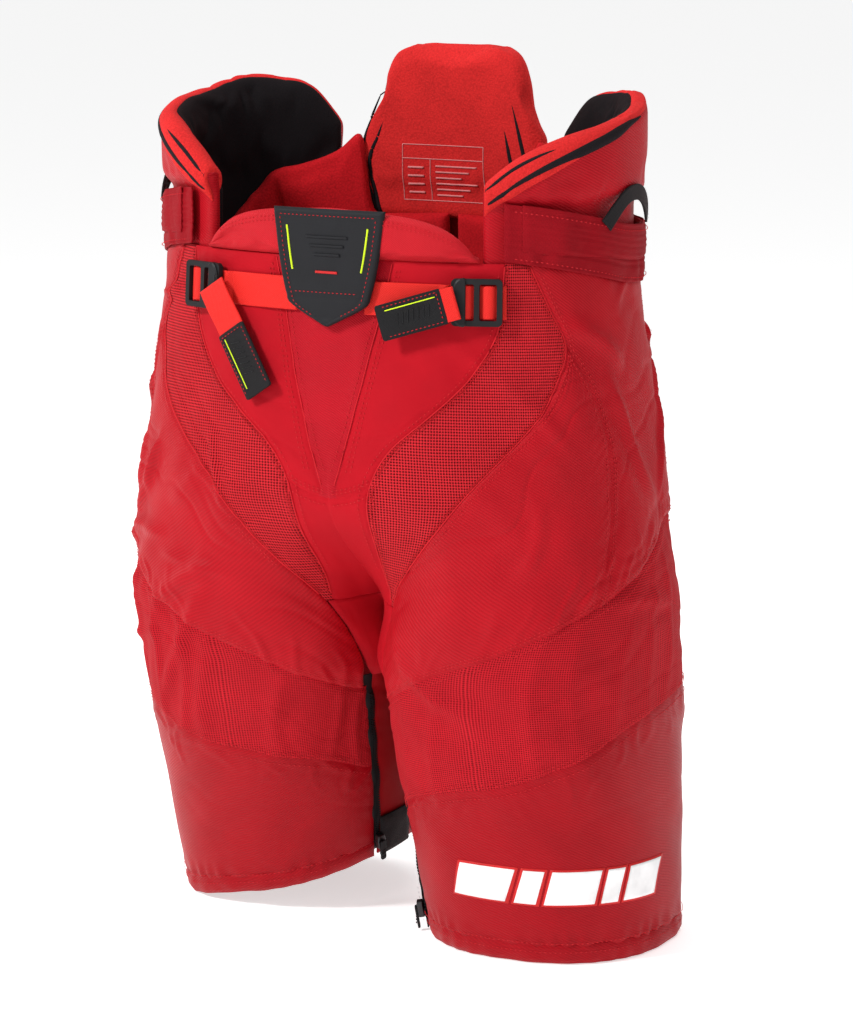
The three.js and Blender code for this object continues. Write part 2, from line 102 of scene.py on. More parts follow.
LOWER_SEAM = [
    (0.08, 100), (0.13, 116), (0.2, 129), (0.28, 143), (0.36, 162), (0.44, 182),
    (0.52, 196), (0.6, 198), (0.7, 186), (0.8, 162), (0.93, 122),
]
UPPER_SEAM = [
    (0.08, 188), (0.15, 206), (0.22, 228), (0.3, 256), (0.38, 281), (0.46, 303),
    (0.54, 330), (0.6, 336), (0.7, 318), (0.8, 282), (0.93, 204),
]
BAND_BOTTOM = [(0.22, 542), (0.3, 537), (0.4, 529), (0.52, 519), (0.64, 518), (0.8, 524), (1, 530)]
V_SEAM = [(0, 358), (0.025, 364), (0.05, 374)]
GUARD_TOP = [(0, 578), (0.08, 574), (0.13, 567), (0.165, 556), (0.185, 546)]
PAD_RIM = [
    (0.19, 596), (0.25, 616), (0.33, 630), (0.45, 641), (0.55, 650),
    (0.66, 657), (0.74, 654), (0.79, 646), (0.84, 618),
]
LUMBAR_TOP = [
    (0.5, 520), (0.59, 549), (0.63, 561), (0.665, 570), (0.7, 582), (0.77, 590),
    (0.83, 600), (0.86, 611), (0.885, 616),
]
LUMBAR_MIDDLE = 553.0
INSERT_INNER = [
    (272, 0.07), (290, 0.052), (310, 0.042), (350, 0.036), (374, 0.042), (400, 0.066),
    (425, 0.112), (455, 0.168), (490, 0.212), (540, 0.226),
]
INSERT_OUTER = [
    (272, 0.081), (290, 0.087), (312, 0.102), (336, 0.12), (360, 0.145), (386, 0.19),
    (408, 0.235), (430, 0.277), (450, 0.303), (478, 0.328), (505, 0.303), (540, 0.266),
]
SIDE_SEAM = [
    (285, 0.386), (326, 0.392), (360, 0.399), (392, 0.405), (416, 0.396), (446, 0.374), (478, 0.33),
]
FLY_SEAM = [(368, 0.004), (404, 0.016), (442, 0.03), (492, 0.048), (540, 0.066)]
BADGE_HALF = [(489, 1.5), (505, 31), (513, 35), (540, 41), (577, 46)]
SPINE_HALF = [(548, 79), (580, 84), (597, 85), (612, 82), (640, 71), (664, 62), (678, 53), (686, 38)]

# ------------------------------------------------------------------ curves and skin


def curve(points, x):
    """A smooth curve through (x, y) points, level beyond both ends."""
    px, py = np.array(points, float).T
    x = np.clip(np.asarray(x, float), px[0], px[-1])
    last = len(px) - 1
    i = np.clip(np.searchsorted(px, x, side="left") - 1, 0, last - 1)
    low, high = np.maximum(i - 1, 0), np.minimum(i + 2, last)
    step = px[i + 1] - px[i]
    m0 = (py[i + 1] - py[low]) / (px[i + 1] - px[low]) * step
    m1 = (py[high] - py[i]) / (px[high] - px[i]) * step
    s = (x - px[i]) / step
    return (
        (2 * s**3 - 3 * s**2 + 1) * py[i] + (s**3 - 2 * s**2 + s) * m0
        + (3 * s**2 - 2 * s**3) * py[i + 1] + (s**3 - s**2) * m1
    )


def smooth(x, low=0.0, high=1.0):
    s = np.clip((np.asarray(x, float) - low) / (high - low), 0, 1)
    return s * s * (3 - 2 * s)


def squared(c):
    return np.sign(c) * np.abs(c) ** (2 / SQUARENESS)


def skin(side, t, z):
    """Points of the outer skin of one side, in millimetres, in the row frame."""
    t, z = np.broadcast_arrays(np.asarray(t, float), np.asarray(z, float))
    section = SECTIONS[side]
    width = curve(section["width"], z)
    leg = np.where(z >= CROTCH_Z, width / 2, curve(section["leg"], z))
    middle = curve(section["middle"], z)
    front, back = curve(FRONT_DEPTH, z), curve(BACK_DEPTH, z)
    torso = smooth(z, CROTCH_Z, CROTCH_Z + HIP_BLEND)
    sin2, cos2 = np.sin(2 * np.pi * t), np.cos(2 * np.pi * t)
    sin1, cos1 = np.sin(np.pi * t), np.cos(np.pi * t)
    leg_x = width - leg - leg * squared(cos2)
    leg_y = middle - np.where(sin2 > 0, front, back) * squared(sin2)
    torso_x = width * squared(sin1)
    torso_y = middle - np.where(cos1 > 0, front, back) * squared(cos1)
    rise = 0.0
    if side == RIGHT:
        rise = np.maximum(0, HEM_RISE * (1 + np.cos(2 * np.pi * (t - HEM_RISE_AT))) - HEM_FLAT)
    x = side * (leg_x + (torso_x - leg_x) * torso)
    y = leg_y + (torso_y - leg_y) * torso
    up = z + rise * np.maximum(0, 1 - z / CROTCH_Z)
    return np.stack([x, y, up], -1) + ORIGIN


def unit(v):
    return v / np.maximum(np.linalg.norm(v, axis=-1, keepdims=True), 1e-9)


def normals(side, t, z):
    """Outward normals of the skin, turned to face straight out on the centre plane."""
    t, z = np.broadcast_arrays(np.asarray(t, float), np.asarray(z, float))
    low, high = t - 0.003, t + 0.003
    above = z >= CROTCH_Z
    low = np.where(above, np.maximum(low, 0.0005), low)
    high = np.where(above, np.minimum(high, 0.9995), high)
    across = skin(side, high, z) - skin(side, low, z)
    up = skin(side, t, z + 1.5) - skin(side, t, z - 1.5)
    n = unit(np.cross(across, up)) * side
    x = np.abs(skin(side, t, z)[..., 0] - ORIGIN[0])
    n[..., 0] *= smooth(x, -2, 14)
    return unit(n)


def noise_at(points, scale, seed=0.0, octave=1):
    """Smooth noise of about -0.5 to 0.5 at each point, one swell every `scale` millimetres."""
    flat = np.asarray(points, float).reshape(-1, 3) / scale + seed
    values = [noise.noise(Vector(p)) for p in flat]
    if octave > 1:
        values = [v + 0.5 * noise.noise(Vector(p * 2.1)) for v, p in zip(values, flat)]
    return np.array(values).reshape(np.asarray(points).shape[:-1])


def make_folds(side):
    """Single folds: (start round the leg, start z, run round, run up, half width, height), in millimetres."""
    pick = random.Random(41 if side == LEFT else 87)
    folds = []
    for _ in range(26):
        t, z = pick.uniform(0.12, 0.92), pick.uniform(215, 520)
        long = pick.uniform(45, 130)
        angle = math.radians(pick.gauss(-38 if t < 0.45 else 30, 24))
        run = (long * math.cos(angle), long * math.sin(angle))
        folds.append((t * 600, z, *run, pick.uniform(4.0, 8.5), pick.uniform(2.2, 5.6)))
    for k in range(34):
        t = 0.09 + 0.84 * (k + pick.uniform(-0.35, 0.35)) / 34
        low = float(curve(UPPER_SEAM, t)) + 2
        run = (pick.uniform(-9, 9), pick.uniform(14, 38))
        folds.append((t * 600, low, *run, pick.uniform(2.2, 3.8), pick.uniform(0.6, 1.7)))
    for k in range(30):
        t = 0.09 + 0.84 * (k + pick.uniform(-0.35, 0.35)) / 30
        top = float(curve(LOWER_SEAM, t)) - 2
        run = (pick.uniform(-7, 7), -pick.uniform(10, 30))
        folds.append((t * 600, top, *run, pick.uniform(2.0, 3.4), pick.uniform(0.5, 1.6)))
    for k in range(15):
        t = 0.1 + 0.8 * (k + pick.uniform(-0.3, 0.3)) / 15
        low, high = float(curve(LOWER_SEAM, t)), float(curve(UPPER_SEAM, t))
        lean = pick.uniform(8, 22) * (-1 if side == RIGHT else 0.4)
        height = pick.uniform(1.4, 3.0) * (1.0 if side == RIGHT else 0.6)
        folds.append((t * 600, low + 8, lean, high - low - 16, pick.uniform(4.0, 7.0), height))
    return folds


FOLDS = {}


def fold_height(side, around, z):
    if side not in FOLDS:
        FOLDS[side] = make_folds(side)
    total = np.zeros_like(z)
    for x0, z0, dx, dz, width, height in FOLDS[side]:
        long = math.hypot(dx, dz)
        ax, az = dx / long, dz / long
        run = (around - x0) * ax + (z - z0) * az
        off = (z - z0) * ax - (around - x0) * az
        bend = off + 5 * np.sin(run / long * 2.6 + x0)
        window = smooth(run, -0.25 * long, 0.2 * long) * smooth(run, 1.25 * long, 0.75 * long)
        ridge = np.exp(-((bend / width) ** 2)) - 0.35 * np.exp(-((bend / width / 2.2) ** 2))
        total = total + height * window * ridge
    return total


def wrinkles(side, t, z):
    """How far loose fabric stands off the skin, alike on both sides where they meet on the centre plane."""
    t, z = np.broadcast_arrays(np.asarray(t, float), np.asarray(z, float))
    own = own_wrinkles(side, t, z)
    apart = smooth(np.minimum(t, 1 - t), 0.0, 0.03)
    near = (apart < 1) & (z > CROTCH_Z - 15)
    if near.any():
        shared = own_wrinkles(LEFT, np.round(t[near]), z[near])
        own = np.array(own)
        own[near] = shared + (own[near] - shared) * apart[near]
    return own


def own_wrinkles(side, t, z):
    """One side's broad swells, drag folds and creases."""
    t, z = np.broadcast_arrays(np.asarray(t, float), np.asarray(z, float))
    around = t * 600.0
    seed = 3.7 if side == LEFT else 11.3
    flat = np.stack([around, z, np.zeros_like(z)], -1)
    swell = noise_at(flat * np.array([1, 0.6, 1]), 75.0, seed)
    slant = np.stack([around + 0.9 * z, (z - 0.5 * around) * 0.32, np.zeros_like(z)], -1)
    drag = noise_at(slant, 34.0, seed + 5)
    warp = noise_at(flat, 60.0, seed + 9) * 40
    crease_line = np.stack([around * 0.25, z - 0.45 * around + warp, np.zeros_like(z)], -1)
    crease = np.exp(-(noise_at(crease_line, 42.0, seed + 2) / 0.055) ** 2)
    loose = 0.35 + 0.65 * smooth(np.abs(z - 300.0), 240, 90)
    knee = smooth(z, 260, 60) * 0.5
    centre = smooth(np.minimum(t, 1 - t), 0.03, 0.11)
    folds = fold_height(side, around, z) * centre * smooth(z, 534, 500) * smooth(z, 6, 30)
    return loose * (4.2 * swell + 2.4 * drag - 0.9 * crease * (1 - knee)) + 1.15 * folds


def on_skin(side, t, z, out=0.0):
    """Points on the fabric, `out` millimetres off it."""
    n = normals(side, t, z)
    return skin(side, t, z) + n * (wrinkles(side, t, z) + out)[..., None], n


# ------------------------------------------------------------------ objects from arrays

MADE = []


def mesh_object(name, points, faces, material, weave=None, smooth_shade=True):
    """A Blender mesh from points in millimetres; weave is a flat cloth coordinate per point."""
    name = name + "_look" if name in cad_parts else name
    mesh = bpy.data.meshes.new(name)
    points = np.asarray(points, float).reshape(-1, 3) * MM
    mesh.from_pydata([tuple(p) for p in points], [], [tuple(map(int, f)) for f in faces])
    if weave is not None:
        layer = mesh.attributes.new("weave", "FLOAT_VECTOR", "POINT")
        flat = np.zeros((len(points), 3))
        flat[:, :2] = np.asarray(weave, float).reshape(-1, 2) * MM
        layer.data.foreach_set("vector", flat.astype(np.float32).ravel())
    mesh.polygons.foreach_set("use_smooth", [smooth_shade] * len(mesh.polygons))
    obj = bpy.data.objects.new(name, mesh)
    bpy.context.collection.objects.link(obj)
    mesh.materials.append(material)
    mesh.validate()
    MADE.append(obj)
    return obj


def grid_faces(columns, rows, start=0, flip=False):
    i, j = np.meshgrid(np.arange(columns - 1), np.arange(rows - 1), indexing="ij")
    a = (i * rows + j + start).ravel()
    b = a + rows
    quads = np.stack([a, b, b + 1, a + 1], -1)
    return quads[:, ::-1] if flip else quads


def slab_faces(columns, rows):
    """Faces of a closed slab whose first layer is its outer face."""
    under = columns * rows
    at = lambda i, j: i * rows + j
    border = [(at(i, 0), at(i + 1, 0)) for i in range(columns - 1)]
    border += [(at(columns - 1, j), at(columns - 1, j + 1)) for j in range(rows - 1)]
    border += [(at(i, rows - 1), at(i - 1, rows - 1)) for i in range(columns - 1, 0, -1)]
    border += [(at(0, j), at(0, j - 1)) for j in range(rows - 1, 0, -1)]
    rim = [(a, a + under, b + under, b) for a, b in border]
    faces = list(grid_faces(columns, rows)) + list(grid_faces(columns, rows, under, flip=True))
    return faces + rim


def spread(length, step):
    """Fractions from 0 to 1, close together near both ends where a seam pulls the cloth in."""
    near = [d for d in (0, 0.8, 1.7, 2.8, 4.3, 6.5, 9.5) if d < length * 0.3]
    count = max(2, int((length - 2 * near[-1]) / step))
    middle = list(np.linspace(near[-1], length - near[-1], count + 1))
    inner = near[:-1] + middle + [length - d for d in near[:-1]][::-1]
    return np.array(sorted(set(round(float(d), 4) for d in inner))) / length


def lengths(points):
    """Running lengths across the columns and up the rows of a grid of points."""
    across = np.zeros(points.shape[:2])
    across[1:] = np.cumsum(np.linalg.norm(np.diff(points, axis=0), axis=2), axis=0)
    up = np.zeros(points.shape[:2])
    up[:, 1:] = np.cumsum(np.linalg.norm(np.diff(points, axis=1), axis=2), axis=1)
    return across, up


def edge_distance(across, up, sewn="lrbt"):
    """Distance to the nearest sewn edge: l, r, b and t are the left, right, bottom and top ones."""
    far = np.full_like(across, 1e3)
    edges = {"l": across, "r": across[-1:] - across, "b": up, "t": up[:, -1:] - up}
    return np.minimum.reduce([far] + [edges[k] for k in sewn])


def value(f, x):
    return f(x) if callable(f) else np.full_like(x, float(f))


def region(u, v, left, right, low, high):
    """t and z over a region bounded by left(z), right(z), low(t) and high(t)."""
    uu, vv = np.meshgrid(u, v, indexing="ij")
    z = np.full_like(uu, WAIST_SEAM)
    t = value(left, z) + (value(right, z) - value(left, z)) * uu
    for _ in range(14):
        z = value(low, t) + (value(high, t) - value(low, t)) * vv
        t = value(left, z) + (value(right, z) - value(left, z)) * uu
    return t, z


def along(points):
    return lambda x: curve(points, x)


def sew(name, base, n, loose, weave, material, thick=2.2, groove=0.75, puff=1.1, pucker=0.7, sewn="lrbt"):
    """A sewn panel from a grid: pulled in at its edges, slightly full between, and puckered."""
    across, up = lengths(base)
    edge = edge_distance(across, up, sewn)
    flat = np.stack([across, up, np.zeros_like(up)], -1)
    seam = np.exp(-((edge / 2.6) ** 2))
    off = loose + puff * (1 - np.exp(-edge / 16)) - groove * seam
    off += pucker * np.exp(-edge / 9) * (1 - seam) * 2 * noise_at(flat + n * 5, 8.5, 1.9)
    outer = base + n * off[..., None]
    inner = base + n * (off - thick * (1 - 0.55 * seam))[..., None]
    columns, rows = base.shape[:2]
    points = np.concatenate([outer.reshape(-1, 3), inner.reshape(-1, 3)])
    obj = mesh_object(name, points, slab_faces(columns, rows), material, np.concatenate([weave, weave]))
    return obj


def oriented(side, *grids):
    return [g if side == LEFT else g[::-1] for g in grids]


def panel(name, side, left, right, low, high, material, out=0.0, step=3.2, extra=None, **how):
    """A sewn panel over a region of one side's skin."""
    t, z = region(np.linspace(0, 1, 9), np.linspace(0, 1, 9), left, right, low, high)
    across, up = lengths(skin(side, t, z))
    u = spread(float(across[-1].max()), step)
    v = spread(float(up[:, -1].max()), step)
    t, z = region(u, v, left, right, low, high)
    base, n = skin(side, t, z), normals(side, t, z)
    loose = wrinkles(side, t, z) + out
    if extra is not None:
        loose = loose + extra(t, z)
    weave = np.stack([t * 610, z], -1)
    base, n, loose, weave = oriented(side, base, n, loose, weave)
    return sew(name, base, n, loose, weave.reshape(-1, 2), material, **how)


def both_sides(aside, t, z):
    """Skin points and normals, on the right half where `aside` is below zero."""
    right = (aside < 0)[..., None]
    base = np.where(right, skin(RIGHT, t, z), skin(LEFT, t, z))
    return base, np.where(right, normals(RIGHT, t, z), normals(LEFT, t, z))


def centre_panel(name, half, low, high, material, out=0.0, step=3.2, extra=None, **how):
    """A sewn panel across the centre front; half(z) is its half width in t."""
    width = 2 * 590 * float(np.max(value(half, np.linspace(300, 540, 9)))) + 4
    u = spread(width, step)
    tall = float(np.max(value(high, np.zeros(1)) - value(low, np.zeros(1))))
    v = spread(tall, step)
    uu, vv = np.meshgrid(u, v, indexing="ij")
    share = 2 * uu - 1
    t = np.abs(share) * 0.02
    for _ in range(14):
        z = value(low, t) + (value(high, t) - value(low, t)) * vv
        t = np.abs(share) * value(half, z)
    base, n = both_sides(share, t, z)
    loose = np.where(share < 0, wrinkles(RIGHT, t, z), wrinkles(LEFT, t, z))
    calm = smooth(np.abs(share) * value(half, z), 0.0, 0.03)
    middle = 0.5 * (wrinkles(LEFT, 0 * t, z) + wrinkles(RIGHT, 0 * t, z))
    loose = middle + (loose - middle) * calm + out
    if extra is not None:
        loose = loose + extra(share, z)
    weave = np.stack([share * value(half, z) * 610, z], -1)
    return sew(name, base, n, loose, weave.reshape(-1, 2), material, **how)


def tube(name, path, radius, material, sides=8, closed=False):
    """A round tube along a list of points, with flat caps at its ends."""
    path = np.asarray(path, float)
    ahead = np.roll(path, -1, 0) - np.roll(path, 1, 0) if closed else np.gradient(path, axis=0)
    ahead = unit(ahead)
    guide = np.tile(np.array([0.13, 0.21, 0.97]), (len(path), 1))
    guide = np.where(np.abs((guide * ahead).sum(1, keepdims=True)) > 0.95, [1.0, 0.1, 0.1], guide)
    first = unit(np.cross(ahead, guide))
    second = np.cross(ahead, first)
    angle = np.arange(sides) * 2 * math.pi / sides
    ring = first[:, None] * np.cos(angle)[None, :, None] + second[:, None] * np.sin(angle)[None, :, None]
    thick = np.broadcast_to(np.asarray(radius, float), (len(path),))
    points = (path[:, None] + ring * thick[:, None, None]).reshape(-1, 3)
    faces = []
    count = len(path) if closed else len(path) - 1
    for i in range(count):
        j = (i + 1) % len(path)
        for k in range(sides):
            m = (k + 1) % sides
            faces.append((i * sides + k, i * sides + m, j * sides + m, j * sides + k))
    if not closed:
        end = (len(path) - 1) * sides
        faces.append(tuple(range(sides))[::-1])
        faces.append(tuple(end + k for k in range(sides)))
    run = np.concatenate([[0], np.cumsum(np.linalg.norm(np.diff(path, axis=0), axis=1))])
    weave = np.stack(np.meshgrid(run, angle * thick.mean(), indexing="ij"), -1).reshape(-1, 2)
    return mesh_object(name, points, faces, material, weave)


def spaced(points, step):
    """The same line with its points `step` apart."""
    run = np.concatenate([[0], np.cumsum(np.linalg.norm(np.diff(points, axis=0), axis=1))])
    at = np.linspace(0, run[-1], max(2, int(run[-1] / step) + 1))
    return np.stack([np.interp(at, run, points[:, k]) for k in range(3)], 1)


STITCHES = {}


def stitch(group, line, n, length=2.6, gap=1.3, wide=0.45, lift=0.12):
    """Adds thread dashes along a line on the cloth to a group that becomes one object."""
    run = np.concatenate([[0], np.cumsum(np.linalg.norm(np.diff(line, axis=0), axis=1))])
    at = np.arange(0.5, run[-1] - length, length + gap)
    pick = lambda a, s: np.stack([np.interp(s, run, a[:, k]) for k in range(3)], 1)
    a, b = pick(line, at), pick(line, at + length)
    up = unit(pick(n, at + length / 2))
    side = unit(np.cross(b - a, up)) * wide
    middle = (a + b) / 2 + up * (lift + wide)
    a, b = a + up * lift * 0.2, b + up * lift * 0.2
    ring = [a, middle - side * 1.0, b, middle + side * 1.0, middle + up * wide * 0.6]
    points = np.stack(ring, 1).reshape(-1, 3)
    store = STITCHES.setdefault(group, ([], []))
    start = sum(len(p) for p in store[0])
    store[0].append(points)
    for k in range(len(at)):
        base = start + 5 * k
        for i, j in ((0, 1), (1, 2), (2, 3), (3, 0)):
            store[1].append((base + i, base + j, base + 4))
        store[1].append((base + 3, base + 2, base + 1, base))


def zigzag(group, line, n, half=1.2, pitch=1.5, wide=0.42, lift=0.15):
    """Adds a zigzag of thread along a line on the cloth."""
    path, up = spaced(line, pitch), None
    run = np.concatenate([[0], np.cumsum(np.linalg.norm(np.diff(line, axis=0), axis=1))])
    at = np.linspace(0, run[-1], len(path))
    up = unit(np.stack([np.interp(at, run, n[:, k]) for k in range(3)], 1))
    side = unit(np.cross(np.gradient(path, axis=0), up))
    sign = np.where(np.arange(len(path)) % 2, 1.0, -1.0)[:, None]
    ends = path + side * half * sign + up * lift
    a, b = ends[:-1], ends[1:]
    aside = unit(np.cross(b - a, up[1:])) * wide
    ring = [a, (a + b) / 2 - aside, b, (a + b) / 2 + aside, (a + b) / 2 + up[1:] * 0.55]
    points = np.stack(ring, 1).reshape(-1, 3)
    store = STITCHES.setdefault(group, ([], []))
    start = sum(len(p) for p in store[0])
    store[0].append(points)
    for k in range(len(a)):
        base = start + 5 * k
        for i, j in ((0, 1), (1, 2), (2, 3), (3, 0)):
            store[1].append((base + i, base + j, base + 4))
        store[1].append((base + 3, base + 2, base + 1, base))


def seam_stitch(group, side, t, z, out=0.45):
    line, n = on_skin(side, t, z, out)
    stitch(group, line, n)


# ------------------------------------------------------------------ materials


def new_material(name, color, roughness, metallic=0.0, sheen=0.0, specular=0.5, sheen_tint=None):
    material = bpy.data.materials.new(name)
    material.use_nodes = True
    shader = material.node_tree.nodes["Principled BSDF"]
    shader.inputs["Base Color"].default_value = (*color, 1)
    shader.inputs["Roughness"].default_value = roughness
    shader.inputs["Metallic"].default_value = metallic
    shader.inputs["Specular IOR Level"].default_value = specular * 0.3
    shader.inputs["Sheen Weight"].default_value = sheen * 0.22
    shader.inputs["Sheen Roughness"].default_value = 0.45
    shader.inputs["Sheen Tint"].default_value = (*(sheen_tint or (1, 0.25, 0.22)), 1)
    return material, material.node_tree, shader


def link(tree, a, b):
    tree.links.new(a, b)


def math_node(tree, operation, a, b=None, clamp=False):
    node = tree.nodes.new("ShaderNodeMath")
    node.operation = operation
    node.use_clamp = clamp
    for socket, item in zip(node.inputs, (a, b)):
        if item is None:
            continue
        if isinstance(item, (int, float)):
            socket.default_value = item
        else:
            link(tree, item, socket)
    return node.outputs[0]


def scaled(tree, a, factor, plus, clamp=False):
    """a times factor, plus a number or another socket."""
    out = math_node(tree, "MULTIPLY_ADD", a, factor, clamp)
    third = out.node.inputs[2]
    if isinstance(plus, (int, float)):
        third.default_value = plus
    else:
        link(tree, plus, third)
    return out


def noise_node(tree, vector, scale, detail=2.0):
    node = tree.nodes.new("ShaderNodeTexNoise")
    node.inputs["Scale"].default_value = scale
    node.inputs["Detail"].default_value = detail
    link(tree, vector, node.inputs["Vector"])
    return node.outputs["Fac"]


def cloth_coordinate(tree):
    node = tree.nodes.new("ShaderNodeAttribute")
    node.attribute_name = "weave"
    split = tree.nodes.new("ShaderNodeSeparateXYZ")
    link(tree, node.outputs["Vector"], split.inputs[0])
    return node.outputs["Vector"], split.outputs[0], split.outputs[1]


def object_coordinate(tree):
    node = tree.nodes.new("ShaderNodeTexCoord")
    split = tree.nodes.new("ShaderNodeSeparateXYZ")
    link(tree, node.outputs["Object"], split.inputs[0])
    return node.outputs["Object"], split.outputs


def wave(tree, coordinate, pitch_mm, phase=0.0):
    return math_node(tree, "SINE", scaled(tree, coordinate, 2 * math.pi / (pitch_mm * MM), phase))


def colour_mix(tree, factor, a, b):
    node = tree.nodes.new("ShaderNodeMix")
    node.data_type = "RGBA"
    sockets = [s for s in node.inputs if s.type == "RGBA"]
    for socket, item in zip(sockets, (a, b)):
        if isinstance(item, tuple):
            socket.default_value = (*item, 1)
        else:
            link(tree, item, socket)
    link(tree, factor, node.inputs[0])
    return [s for s in node.outputs if s.type == "RGBA"][0]


def bump(tree, shader, height, strength, distance_mm):
    node = tree.nodes.new("ShaderNodeBump")
    node.inputs["Strength"].default_value = strength
    node.inputs["Distance"].default_value = distance_mm * MM
    link(tree, height, node.inputs["Height"])
    link(tree, node.outputs[0], shader.inputs["Normal"])


def darker(color, share):
    return tuple(c * share for c in color)


def woven(name, color, roughness=0.6, sheen=0.25, pitch=(1.5, 1.15), twill=0.0, strength=0.5, specular=0.4):
    """Plain or twill weave, with slightly uneven threads and colour."""
    material, tree, shader = new_material(name, color, roughness, sheen=sheen, specular=specular)
    vector, s, z = cloth_coordinate(tree)
    slanted = scaled(tree, s, twill, z)
    warp = wave(tree, s, pitch[0])
    weft = wave(tree, slanted, pitch[1])
    threads = math_node(tree, "MULTIPLY", warp, weft) if twill == 0 else weft
    uneven = noise_node(tree, vector, 900, 3)
    height = math_node(tree, "ADD", math_node(tree, "MULTIPLY", threads, 0.5), uneven)
    bump(tree, shader, height, strength, 0.32)
    patches = noise_node(tree, vector, 22, 4)
    factor = scaled(tree, scaled(tree, threads, 0.26, patches), 1.0, -0.02, clamp=True)
    link(tree, colour_mix(tree, factor, darker(color, 0.8), darker(color, 1.16)), shader.inputs["Base Color"])
    link(tree, scaled(tree, uneven, 0.25, roughness - 0.12), shader.inputs["Roughness"])
    return material


def netting(name, color, hole, pitch, threshold, strength=0.9, sheen=0.2):
    """Knitted mesh: rows of small holes, every second row shifted by half."""
    material, tree, shader = new_material(name, color, 0.75, sheen=sheen, specular=0.3)
    vector, s, z = cloth_coordinate(tree)
    plus = math_node(tree, "ADD", s, z)
    minus = math_node(tree, "SUBTRACT", s, z)
    product = math_node(tree, "MULTIPLY", wave(tree, plus, pitch), wave(tree, minus, pitch))
    open_share = math_node(tree, "SUBTRACT", product, threshold)
    hole_mask = math_node(tree, "MULTIPLY", open_share, 4.0, clamp=True)
    uneven = noise_node(tree, vector, 700, 2)
    solid = math_node(tree, "SUBTRACT", uneven, math_node(tree, "MULTIPLY", hole_mask, 1.2))
    bump(tree, shader, solid, strength, 0.7)
    patches = noise_node(tree, vector, 30, 3)
    cloth = colour_mix(tree, patches, darker(color, 0.85), darker(color, 1.2))
    link(tree, colour_mix(tree, hole_mask, cloth, hole), shader.inputs["Base Color"])
    return material


def knitted(name, color, scale=850.0, strength=0.6, sheen=0.35, contrast=0.28):
    """Knit or brushed cloth in object space, for pads whose mesh is remade."""
    material, tree, shader = new_material(name, color, 0.85, sheen=sheen, specular=0.25)
    vector, _ = object_coordinate(tree)
    cells = tree.nodes.new("ShaderNodeTexVoronoi")
    cells.inputs["Scale"].default_value = scale
    link(tree, vector, cells.inputs["Vector"])
    fine = noise_node(tree, vector, 1500, 2)
    height = math_node(tree, "SUBTRACT", fine, cells.outputs["Distance"])
    bump(tree, shader, height, strength, 0.5)
    patches = noise_node(tree, vector, 35, 3)
    broad = math_node(tree, "MULTIPLY", patches, 0.6)
    factor = scaled(tree, cells.outputs["Distance"], 0.6, broad, clamp=True)
    link(
        tree,
        colour_mix(tree, factor, darker(color, 1 + contrast), darker(color, 1 - contrast)),
        shader.inputs["Base Color"],
    )
    return material


def moulded(name, color, roughness=0.42, grain=900.0, strength=0.25, specular=0.5, metallic=0.0):
    """Moulded plastic, rubber or plated metal with a fine grain and worn, uneven gloss."""
    material, tree, shader = new_material(name, color, roughness, metallic=metallic, specular=specular)
    vector, _ = object_coordinate(tree)
    fine = noise_node(tree, vector, grain, 3)
    bump(tree, shader, fine, strength, 0.15)
    broad = noise_node(tree, vector, 60, 4)
    link(tree, scaled(tree, broad, 0.25, roughness - 0.12), shader.inputs["Roughness"])
    link(tree, colour_mix(tree, broad, darker(color, 0.8), darker(color, 1.3)), shader.inputs["Base Color"])
    return material


NYLON = woven("red_nylon", (0.40, 0.003, 0.0095), 0.50, sheen=0.2, pitch=(2.7, 2.3), twill=0.5, strength=0.6)
CUFF_NYLON = woven(
    "cuff_nylon", (0.34, 0.002, 0.0075), 0.46,
    sheen=0.15, pitch=(2.7, 2.3), twill=0.5, strength=0.5,
)
STRETCH = woven("stretch_fabric", (0.43, 0.002, 0.0095), 0.7, sheen=0.12, pitch=(1.1, 0.9), strength=0.25)
TWILL = woven(
    "ribbed_twill", (0.41, 0.003, 0.0115), 0.62,
    sheen=0.15, pitch=(1.6, 1.9), twill=0.9, strength=0.6,
)
# The same ribbed twill as the fly with a brighter base colour: painted light on the front guard, whose top
# faces up towards the lamps.
LIT_GUARD_TWILL = woven(
    "guard_twill_painted_light", (0.50, 0.01, 0.018), 0.62,
    sheen=0.3, pitch=(1.6, 1.9), twill=0.9, strength=0.6,
)
ELASTIC = woven("ribbed_elastic", (0.28, 0.0015, 0.007), 0.72, sheen=0.12, pitch=(1.4, 3.1), strength=0.9)
OPEN_MESH = netting("open_mesh", (0.55, 0.016, 0.024), (0.12, 0.001, 0.003), 4.4, 0.05)
WOVEN_MESH = netting("woven_mesh", (0.50, 0.01, 0.019), (0.17, 0.0015, 0.004), 3.4, 0.12, strength=0.8)
INNER = woven("inner_stretch", (0.30, 0.002, 0.005), 0.75, sheen=0.2, pitch=(1.2, 1.0), strength=0.3)
KNIT = knitted("red_knit", (0.62, 0.022, 0.022), 620.0)
KNIT_DARK = knitted("lumbar_knit", (0.48, 0.008, 0.013), 620.0)
LINER = knitted("black_brushed_liner", (0.008, 0.0065, 0.0075), 1400.0, strength=0.3, sheen=0.12)
WEBBING_RED = woven(
    "orange_red_webbing", (0.74, 0.022, 0.017), 0.55,
    sheen=0.3, pitch=(2.1, 1.7), strength=0.8,
)
WEBBING_BLACK = woven(
    "black_webbing", (0.012, 0.012, 0.013), 0.65,
    sheen=0.15, pitch=(1.6, 1.3), strength=0.8,
)
PIPING = woven("piping", (0.56, 0.012, 0.02), 0.6, sheen=0.3, pitch=(1.2, 1.2), strength=0.4)
THREAD = new_material("red_thread", (0.5, 0.012, 0.018), 0.55, sheen=0.3)[0]
DARK_THREAD = new_material("dark_thread", (0.02, 0.02, 0.022), 0.6)[0]
PLASTIC = moulded("black_plastic", (0.014, 0.014, 0.015), 0.4)
RUBBER = moulded("grey_rubber", (0.014, 0.014, 0.016), 0.62, grain=1600, strength=0.4)
